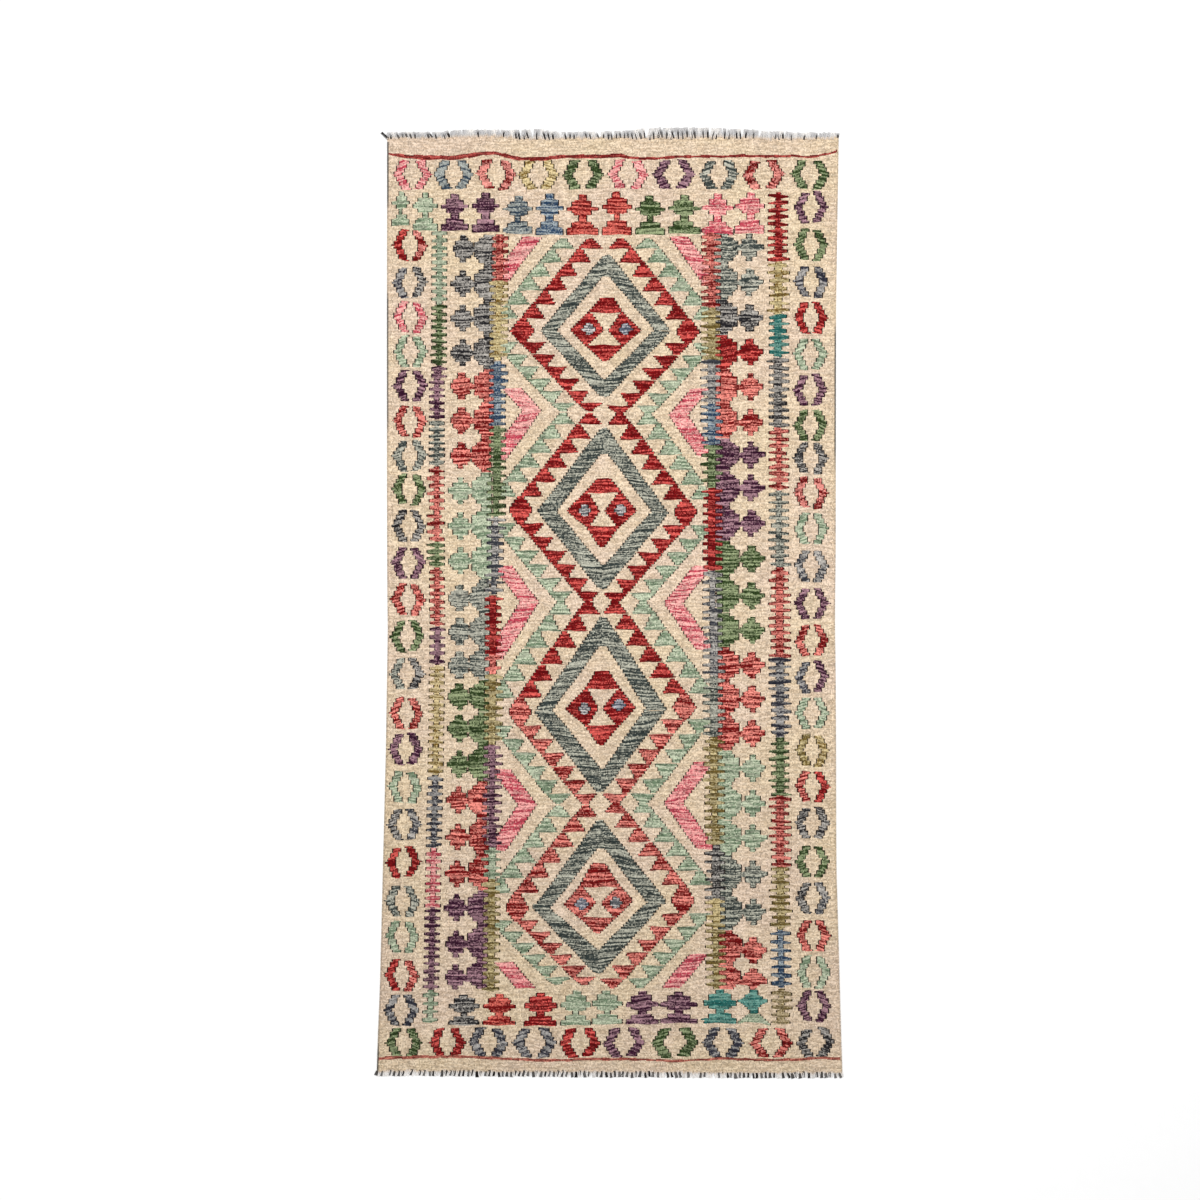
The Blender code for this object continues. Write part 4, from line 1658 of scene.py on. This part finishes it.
class GeometryTree(NodeTree):
    """A Geometry Nodes tree that is built in the script and run once on a piece."""

    def __init__(self, name: str, sizes: dict[str, float | int]) -> None:
        """Starts a tree with a geometry input and named inputs for its sizes."""
        super().__init__(bpy.data.node_groups.new(name, "GeometryNodeTree"))
        face = self.tree.interface
        face.new_socket("Geometry", in_out="INPUT", socket_type="NodeSocketGeometry")
        self.sizes = sizes
        self.keys: dict[str, str] = {}
        for size, value in sizes.items():
            kind = "NodeSocketInt" if isinstance(value, int) else "NodeSocketFloat"
            self.keys[size] = face.new_socket(size, in_out="INPUT", socket_type=kind).identifier
        face.new_socket("Geometry", in_out="OUTPUT", socket_type="NodeSocketGeometry")
        self.start = self.node("NodeGroupInput")
        self.geometry = self.output(self.start)

    def size(self, name: str) -> Wire:
        """One of the named sizes."""
        return self.output(self.start, self.keys[name])

    def named(self, name: str) -> Wire:
        """Reads a number that the points carry."""
        return self.wire("GeometryNodeInputNamedAttribute", {"data_type": "FLOAT"}, Name=name)

    def stored(self, geometry: Wire, name: str, value: Value) -> Wire:
        """Writes a number to the geometry's points under a name."""
        settings = {"data_type": "FLOAT", "domain": "POINT"}
        sockets = {"Geometry": geometry, "Name": name, "Value": value}
        return self.wire("GeometryNodeStoreNamedAttribute", settings, **sockets)

    def run(self, name: str, seed_mesh: Mesh, instances: Wire, material: Material) -> Object:
        """Ends the tree, runs it on a mesh and keeps the result as a plain mesh.

        Args:
            name: The piece's name.
            seed_mesh: What the tree starts from.
            instances: What the tree makes, which is realized and dressed.
            material: The piece's material.

        Returns:
            The piece, with no modifier left on it.
        """
        real = self.wire("GeometryNodeRealizeInstances", Geometry=instances)
        smooth = self.wire("GeometryNodeSetShadeSmooth", Geometry=real, Shade_Smooth=True)
        dressed = self.wire("GeometryNodeSetMaterial", Geometry=smooth, Material=material)
        self.tree.links.new(dressed.socket, self.node("NodeGroupOutput").inputs[0])
        piece = put(name, seed_mesh)
        modifier = piece.modifiers.new(name, "NODES")
        modifier.node_group = self.tree
        for size, value in self.sizes.items():
            modifier[self.keys[size]] = value
        depsgraph = bpy.context.evaluated_depsgraph_get()
        result = bpy.data.meshes.new_from_object(piece.evaluated_get(depsgraph), depsgraph=depsgraph)
        piece.modifiers.clear()
        piece.data = result
        result.name = name
        bpy.data.meshes.remove(seed_mesh)
        log.info("%s: %d faces", name, len(result.polygons))
        return piece


def either(sign: int, first: Any, second: Any) -> Any:
    """The first value at the upper end or on the right side, and the second one at the other."""
    return first if sign > 0 else second


def put(name: str, data: bpy.types.ID) -> Object:
    """Makes an object of some data and puts it in the scene."""
    made = bpy.data.objects.new(name, data)
    bpy.context.scene.collection.objects.link(made)
    return made


def polyline(name: str, points: list[Place], numbers: dict[str, list[float]]) -> Mesh:
    """A chain of points with edges between them.

    Args:
        name: The mesh's name.
        points: The points, in order.
        numbers: Named numbers that the points carry.

    Returns:
        The mesh.
    """
    mesh = bpy.data.meshes.new(name)
    mesh.from_pydata(points, [(i, i + 1) for i in range(len(points) - 1)], [])
    for label, values in numbers.items():
        layer = mesh.attributes.new(label, "FLOAT", "POINT")
        layer.data.foreach_set("value", values)
    return mesh


class Ply(NamedTuple):
    """One ply of a lock, in metres from the lock's middle."""

    root: float  # where it starts, sideways
    tip: float  # where it ends, sideways
    twist: float  # how far it turns round its own line
    phase: float  # where it starts its turns
    soil: float  # how dark it is, as painted shade of the gap between locks


@dataclass
class Fringe:
    """A fringe: locks of plied warp ends, and dark loose ones in the gaps between them, which paint the gaps'
    shade.
    """

    outline: Outline  # the rug's outline
    end: int  # -1 for the lower end, 1 for the upper one
    locks: int = 108  # how many locks there are
    strand_radius: float = 0.0008  # half of a ply's thickness
    turns: float = 2.0  # how often a ply turns round its pair
    root_height: float = 0.0018  # how high the roots lie over the cloth's edge, and the tips over the floor
    tip_height: float = 0.0014
    margin: float = 0.0026  # room at the two corners
    gap: float = 0.0044  # from a lock's middle to the middle of the gap beside it
    bare: float = 0.14  # how far out the lower fringe's dark gap strands start, as a share of its reach
    thick: float = 1.4  # how thick the dark gap strands are beside the clean ones
    pair_root: float = 0.0015  # from a lock's middle to the middle of a clean pair, at its root
    pair_tips: Point = (0.0013, 0.0009)  # the same at the tips, at the upper and the lower end
    gap_shade_roots: Point = (0.0008, 0.0010)  # how far apart the dark gap strands are
    gap_shade_tips: Point = (0.0013, 0.0021)
    twists: Point = (0.00055, 0.0001)  # how far a clean and a dark gap strand turn round their lines
    sideways: float = 0.0008  # how far a root is out of its place
    seats: Point = (0.0008, 0.0050)  # how far in from the cloth's edge the roots are
    near: float = 0.010  # how far round a lock the solid's reach is taken
    shortest: float = 0.0012  # how much shorter than that a lock may be
    sway: float = 0.14  # how unevenly the locks lean
    widths: Point = (0.8, 1.3)
    # how dark the gap strands are beside a lock whose gap is painted dark as shade, and beside one whose gap
    # is not
    dark: Point = (0.8, 1.0)
    clean: Point = (0.0, 0.3)
    segments: int = 6
    facets: int = 5
    ruffling: float = 170.0  # how fine the tips' straying is
    looseness: float = 0.0045  # how far a tip may stray
    freedom: Place = (1.0, 0.25, 0.12)  # the share of that across, along and upwards

    # for each end, rows of chart x and the share of the gaps that are painted dark as shade
    SHADED_GAPS: ClassVar[dict[int, Table]] = {
        1: written(
            """386 0.85, 445 0.8, 458 0.15, 500 0.15, 515 0.7, 560 0.7, 600 0.9, 700 0.95, 745 0.6,
            838 0.35"""
        ),
        -1: written("376 0.75, 430 0.75, 480 0.85, 530 0.97, 640 0.9, 680 0.8, 843 0.88"),
    }
    # how far the locks turn from the rug's length, as rows of x and angle
    LEAN: ClassVar[Table] = written("-0.48 0.3, 0 0.1, 0.48 -0.2")
    # the stray dark thread at the upper left corner, as a lock's numbers
    STRAY: ClassVar[tuple[float, ...]] = (0.020, -0.1, 0.85, 0.6, 1.0, 0.0, 0.96)
    STRAY_ROOT: ClassVar[float] = 0.001  # how far left of the first lock it starts

    def name(self) -> str:
        """The piece's name."""
        return either(self.end, "fringe_upper_strands", "fringe_lower_strands")

    def plies(self) -> list[Ply]:
        """The plies of one lock: two clean twisted pairs, then three dark ones that spread and paint the
        shade of the gap beside it.
        """
        tip, close, fan = (
            either(self.end, *widths) for widths in (self.pair_tips, self.gap_shade_roots, self.gap_shade_tips)
        )
        plies = []
        for side in (-1, 1):
            for phase in (0.0, math.pi):
                plies.append(Ply(side * self.pair_root, side * tip, self.twists[0], phase, 0.0))
        for side in (-1, 0, 1):
            plies.append(Ply(self.gap + side * close, self.gap + side * fan, self.twists[1], side, 1.0))
        return plies

    def roots(self) -> Mesh:
        """The locks' roots on the cloth's edge, each with its reach, its turn and how dark its gap strands
        are, as painted shade.
        """
        rng = random.Random(self.name())
        node = either(self.end, "fringe_upper", "fringe_lower")
        corners = [tuple(v.co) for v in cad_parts[node].data.vertices]
        line = self.outline.ends[self.end]
        left = line[0][0] + self.margin + either(self.end, 0.0, self.gap)
        right = line[-1][0] - self.margin - either(self.end, self.gap, 0.0)
        turned = either(self.end, 0.0, math.pi)
        greying = either(self.end, 1.0, 0.0)
        points, rows = [], []
        for i in range(self.locks):
            x = left + (right - left) * i / (self.locks - 1) + rng.uniform(-self.sideways, self.sideways)
            y = float(self.outline.end(self.end, x)) - self.end * rng.uniform(*self.seats)
            z = float(self.outline.height(np.array([x]), np.array([y]))[0]) - self.root_height / 2
            near = [abs(co[1]) for co in corners if abs(co[0] - x) < self.near]
            reach = max(near) - abs(y) - rng.uniform(0.0, self.shortest)
            gap_is_shaded = rng.random() < between(self.SHADED_GAPS[self.end], x / SQUARE + CHART_ORIGIN[0])
            lean = self.end * between(self.LEAN, x) + rng.gauss(0.0, self.sway) + turned
            width, soil = rng.uniform(*self.widths), rng.uniform(*(self.dark if gap_is_shaded else self.clean))
            points.append((x, y, z))
            rows.append((reach, -math.atan2(z, reach), lean, width, soil, greying, 0.0))
        if self.end > 0:
            x, y, z = points[0]
            points.append((x - self.STRAY_ROOT, y, z))
            rows.append(self.STRAY)
        names = ("reach", "pitch", "lean", "width", "soil", "greying", "stray")
        numbers = {name: list(column) for name, column in zip(names, zip(*rows))}
        return polyline("fringe roots", points, numbers)

    def make(self, material: Material) -> Object:
        """Builds the fringe with Geometry Nodes, of the cotton that it is given."""
        sizes = {"Strand radius": self.strand_radius, "Turns": self.turns, "Seed": either(self.end, 5, 9)}
        tree = GeometryTree("fringe locks", sizes)
        plies = [self.strand(tree, ply) for ply in self.plies()]
        lock = tree.wire("GeometryNodeJoinGeometry", Geometry=plies)
        sockets = {
            "Points": tree.geometry,
            "Instance": lock,
            "Rotation": tree.vector(tree.named("pitch"), 0.0, tree.named("lean")),
            "Scale": tree.vector(tree.named("width"), tree.named("reach"), 1.0),
        }
        placed = tree.wire("GeometryNodeInstanceOnPoints", **sockets)
        real = tree.wire("GeometryNodeRealizeInstances", Geometry=placed)
        return tree.run(self.name(), self.roots(), self.loosened(tree, real), material)

    def strand(self, tree: GeometryTree, ply: Ply) -> Wire:
        """Makes one ply of a lock, one unit long, which the lock's reach then stretches.

        Args:
            tree: The tree.
            ply: Where it runs and how dark it is.

        Returns:
            The ply.
        """
        begin = self.bare if ply.soil and self.end < 0 else 0.0
        start, end = (0.0, begin, self.root_height), (0.0, 1.0, self.tip_height)
        line = tree.wire("GeometryNodeCurvePrimitiveLine", Start=start, End=end)
        line = tree.wire("GeometryNodeResampleCurve", Curve=line, Count=self.segments)
        along = tree.wire("GeometryNodeSplineParameter")
        angle = along * tree.size("Turns") * math.tau + ply.phase
        sideways = along * (ply.tip - ply.root) + ply.root + tree.maths("COSINE", angle) * ply.twist
        offset = tree.vector(sideways, 0.0, tree.maths("SINE", angle) * ply.twist)
        line = tree.wire("GeometryNodeSetPosition", Geometry=line, Offset=offset)
        line = tree.stored(line, "along", along)
        radius = tree.size("Strand radius") * (self.thick if begin else 1.0)
        profile = tree.wire("GeometryNodeCurvePrimitiveCircle", Resolution=self.facets, Radius=radius)
        tube = tree.wire("GeometryNodeCurveToMesh", Curve=line, Profile_Curve=profile, Fill_Caps=True)
        return tree.stored(tube, "strand_soil", ply.soil)

    def loosened(self, tree: GeometryTree, geometry: Wire) -> Wire:
        """Lets the strands stray a little towards their tips."""
        sockets = {
            "Vector": tree.wire("GeometryNodeInputPosition"),
            "W": tree.size("Seed") * 3.1,
            "Scale": self.ruffling,
            "Detail": 1.0,
        }
        wild = tree.output(tree.node("ShaderNodeTexNoise", {"noise_dimensions": "4D"}, **sockets), "Color")
        centred = tree.vector_maths("SUBTRACT", Vector=wild, Vector_001=(0.5, 0.5, 0.5))
        stray = tree.vector_maths("SCALE", Vector=centred, Scale=tree.named("along") * self.looseness)
        flat = tree.vector_maths("MULTIPLY", Vector=stray, Vector_001=self.freedom)
        return tree.wire("GeometryNodeSetPosition", Geometry=geometry, Offset=flat)


@dataclass
class Selvedge:
    """A selvedge: the outer warps, bundled, with the ground's wool wrapped round them."""

    outline: Outline  # the rug's outline
    side: int  # -1 for the left edge, 1 for the right one
    radius: float = 0.0017  # half of the bundle's thickness
    wrap_radius: float = 0.00045
    wrap_pitch: float = 0.0030  # how far apart the wraps are
    inset: float = 0.0012
    tilt: tuple[Place, Place] = ((-0.2, 0.1, 0.0), (0.2, 0.5, 3.0))  # how little and how much a wrap leans

    room: float = 0.001  # how far it ends before the edge's ends
    step: float = 0.01  # how far apart the points of its line are
    facets: tuple[int, int] = (8, 4)  # the bundle's and a wrap's

    # for each side, how much grey the wool takes as painted shadow along the edge, as rows of chart y and
    # share
    WORN: ClassVar[dict[int, Table]] = {
        -1: written(
            """139 0.95, 200 0.9, 215 0.2, 290 0.3, 300 0.9, 420 0.8, 440 0.2, 1040 0.3, 1050 0.9,
            1072 0.9"""
        ),
        1: written("139 0.2, 325 0.2, 335 0.9, 450 0.9, 470 0.2, 1072 0.2"),
    }

    def name(self) -> str:
        """The piece's name."""
        return either(self.side, "selvedge_right", "selvedge_left")

    def path(self) -> Mesh:
        """The bundle's middle line."""
        rows = self.outline.sides[self.side]
        ys = np.arange(rows[0][0] + self.room, rows[-1][0] - self.room, self.step)
        xs = self.outline.side(self.side, ys) - self.side * self.inset
        zs = self.outline.height(xs, ys) - WovenCloth.thickness / 2
        zs = np.maximum(zs, self.radius + self.wrap_radius)
        # how much painted edge shadow each point of the selvedge's line carries
        worn = [between(self.WORN[self.side], CHART_ORIGIN[1] - y / SQUARE) for y in ys.tolist()]
        return polyline("selvedge path", np.stack([xs, ys, zs], 1).tolist(), {"worn": worn})

    def make(self, material: Material) -> Object:
        """Builds the wrapped bundle with Geometry Nodes, of the wool that it is given."""
        sizes = {
            "Bundle radius": self.radius,
            "Wrap radius": self.wrap_radius,
            "Wrap pitch": self.wrap_pitch,
            "Seed": either(self.side, 3, 4),
        }
        tree = GeometryTree("selvedge wraps", sizes)
        curve = tree.wire("GeometryNodeMeshToCurve", Mesh=tree.geometry)
        circle, tube = "GeometryNodeCurvePrimitiveCircle", "GeometryNodeCurveToMesh"
        ring = tree.wire(circle, Resolution=self.facets[0], Radius=tree.size("Bundle radius"))
        core = tree.wire(tube, Curve=curve, Profile_Curve=ring, Fill_Caps=True)
        yarn = tree.wire(circle, Resolution=self.facets[1], Radius=tree.size("Wrap radius"))
        pitch = tree.size("Wrap pitch")
        stops = tree.wire("GeometryNodeResampleCurve", {"mode": "LENGTH"}, Curve=curve, Length=pitch)
        tangent = tree.wire("GeometryNodeInputTangent")
        facing = tree.wire("FunctionNodeAlignRotationToVector", {"axis": "Z"}, Vector=tangent)
        low, high = self.tilt
        settings = {"data_type": "FLOAT_VECTOR"}
        tilt = tree.wire("FunctionNodeRandomValue", settings, Min=low, Max=high, Seed=tree.size("Seed"))
        settings = {"rotation_space": "LOCAL"}
        sockets = {
            "Points": stops,
            "Instance": tree.wire(tube, Curve=ring, Profile_Curve=yarn),
            "Rotation": tree.wire("FunctionNodeRotateRotation", settings, Rotation=facing, Rotate_By=tilt),
        }
        wraps = tree.wire("GeometryNodeInstanceOnPoints", **sockets)
        joined = tree.wire("GeometryNodeJoinGeometry", Geometry=[core, wraps])
        return tree.run(self.name(), self.path(), joined, material)


@dataclass(frozen=True)
class Studio:
    """The plain floor, the soft light and the camera over the rug."""

    floor_size: float = 16.0
    photo_middle: Point = (600.0, 600.0)
    photo_width: float = 1200.0
    lens: float = 85.0
    sensor: float = 36.0
    sky: float = 0.62

    LAMPS: ClassVar[tuple[tuple[str, Place, float, float], ...]] = (
        ("key light", (0.9, 1.3, 3.6), 1.6, 72.0),
        ("fill light", (-1.6, -0.6, 3.6), 2.4, 44.0),
    )

    def make_floor(self) -> Object:
        """Lays the floor."""
        half = self.floor_size / 2
        mesh = bpy.data.meshes.new("floor")
        corners = [(-half, -half, 0.0), (half, -half, 0.0), (half, half, 0.0), (-half, half, 0.0)]
        mesh.from_pydata(corners, [], [(0, 1, 2, 3)])
        mesh.materials.append(PaleFloor().make())
        log.info("floor: %g m wide", self.floor_size)
        return put("floor", mesh)

    def make_camera(self) -> None:
        """Sets the camera straight above the rug, where the photograph was taken from."""
        data = bpy.data.cameras.new("camera")
        data.lens = self.lens
        data.sensor_width = self.sensor
        camera = put("camera", data)
        x = (self.photo_middle[0] - CHART_ORIGIN[0]) * SQUARE
        y = (CHART_ORIGIN[1] - self.photo_middle[1]) * SQUARE
        camera.location = (x, y, self.photo_width * SQUARE * self.lens / self.sensor)
        bpy.context.scene.camera = camera

    def make_light(self) -> None:
        """Lights the rug softly from all round, and a little more from the upper right."""
        world = bpy.data.worlds.new("soft studio")
        world.use_nodes = True
        background = world.node_tree.nodes["Background"]
        background.inputs["Color"].default_value = (1.0, 1.0, 1.0, 1.0)
        background.inputs["Strength"].default_value = self.sky
        bpy.context.scene.world = world
        for lamp in self.LAMPS:
            self.lamp(*lamp)

    @staticmethod
    def lamp(name: str, place: Place, size: float, power: float) -> None:
        """Hangs one soft lamp, turned to the middle of the rug."""
        data = bpy.data.lights.new(name, "AREA")
        data.shape = "SQUARE"
        data.size = size
        data.energy = power
        lamp = put(name, data)
        lamp.location = place
        lamp.rotation_euler = (-Vector(place)).to_track_quat("-Z", "Y").to_euler()


def clear_start_up() -> None:
    """Takes out the start-up file's own cube, lamp and camera."""
    for name in ("Cube", "Light", "Camera"):
        if name in bpy.data.objects:
            bpy.data.objects.remove(bpy.data.objects[name])


def main() -> None:
    """Weaves and dresses the rug and sets it up in the studio."""
    logging.basicConfig(level=logging.INFO, format="%(name)s: %(message)s")
    clear_start_up()
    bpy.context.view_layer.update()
    bpy.context.scene.view_settings.view_transform = "Standard"
    studio = Studio()
    studio.make_camera()
    studio.make_light()
    floor = studio.make_floor()
    outline = Outline.read(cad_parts["kilim_cloth"])
    cloth = WovenCloth(outline).make(weavers_chart())
    wool = WoolWeave()
    cloth.data.materials.append(wool.patterned())
    plain_wool, cotton = wool.plain(), CottonWarp().make()
    edges = [Selvedge(outline, side).make(plain_wool) for side in (-1, 1)]
    fringes = [Fringe(outline, end).make(cotton) for end in (-1, 1)]
    for piece, slot in [(cloth, "wool_weave")] + [(edge, "wool_weave") for edge in edges]:
        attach(piece, "root")
    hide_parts("kilim_cloth")
    for fringe, node in zip(fringes, ("fringe_lower", "fringe_upper")):
        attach(fringe, "root")
        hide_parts(node)


if __name__ == "__main__":
    main()
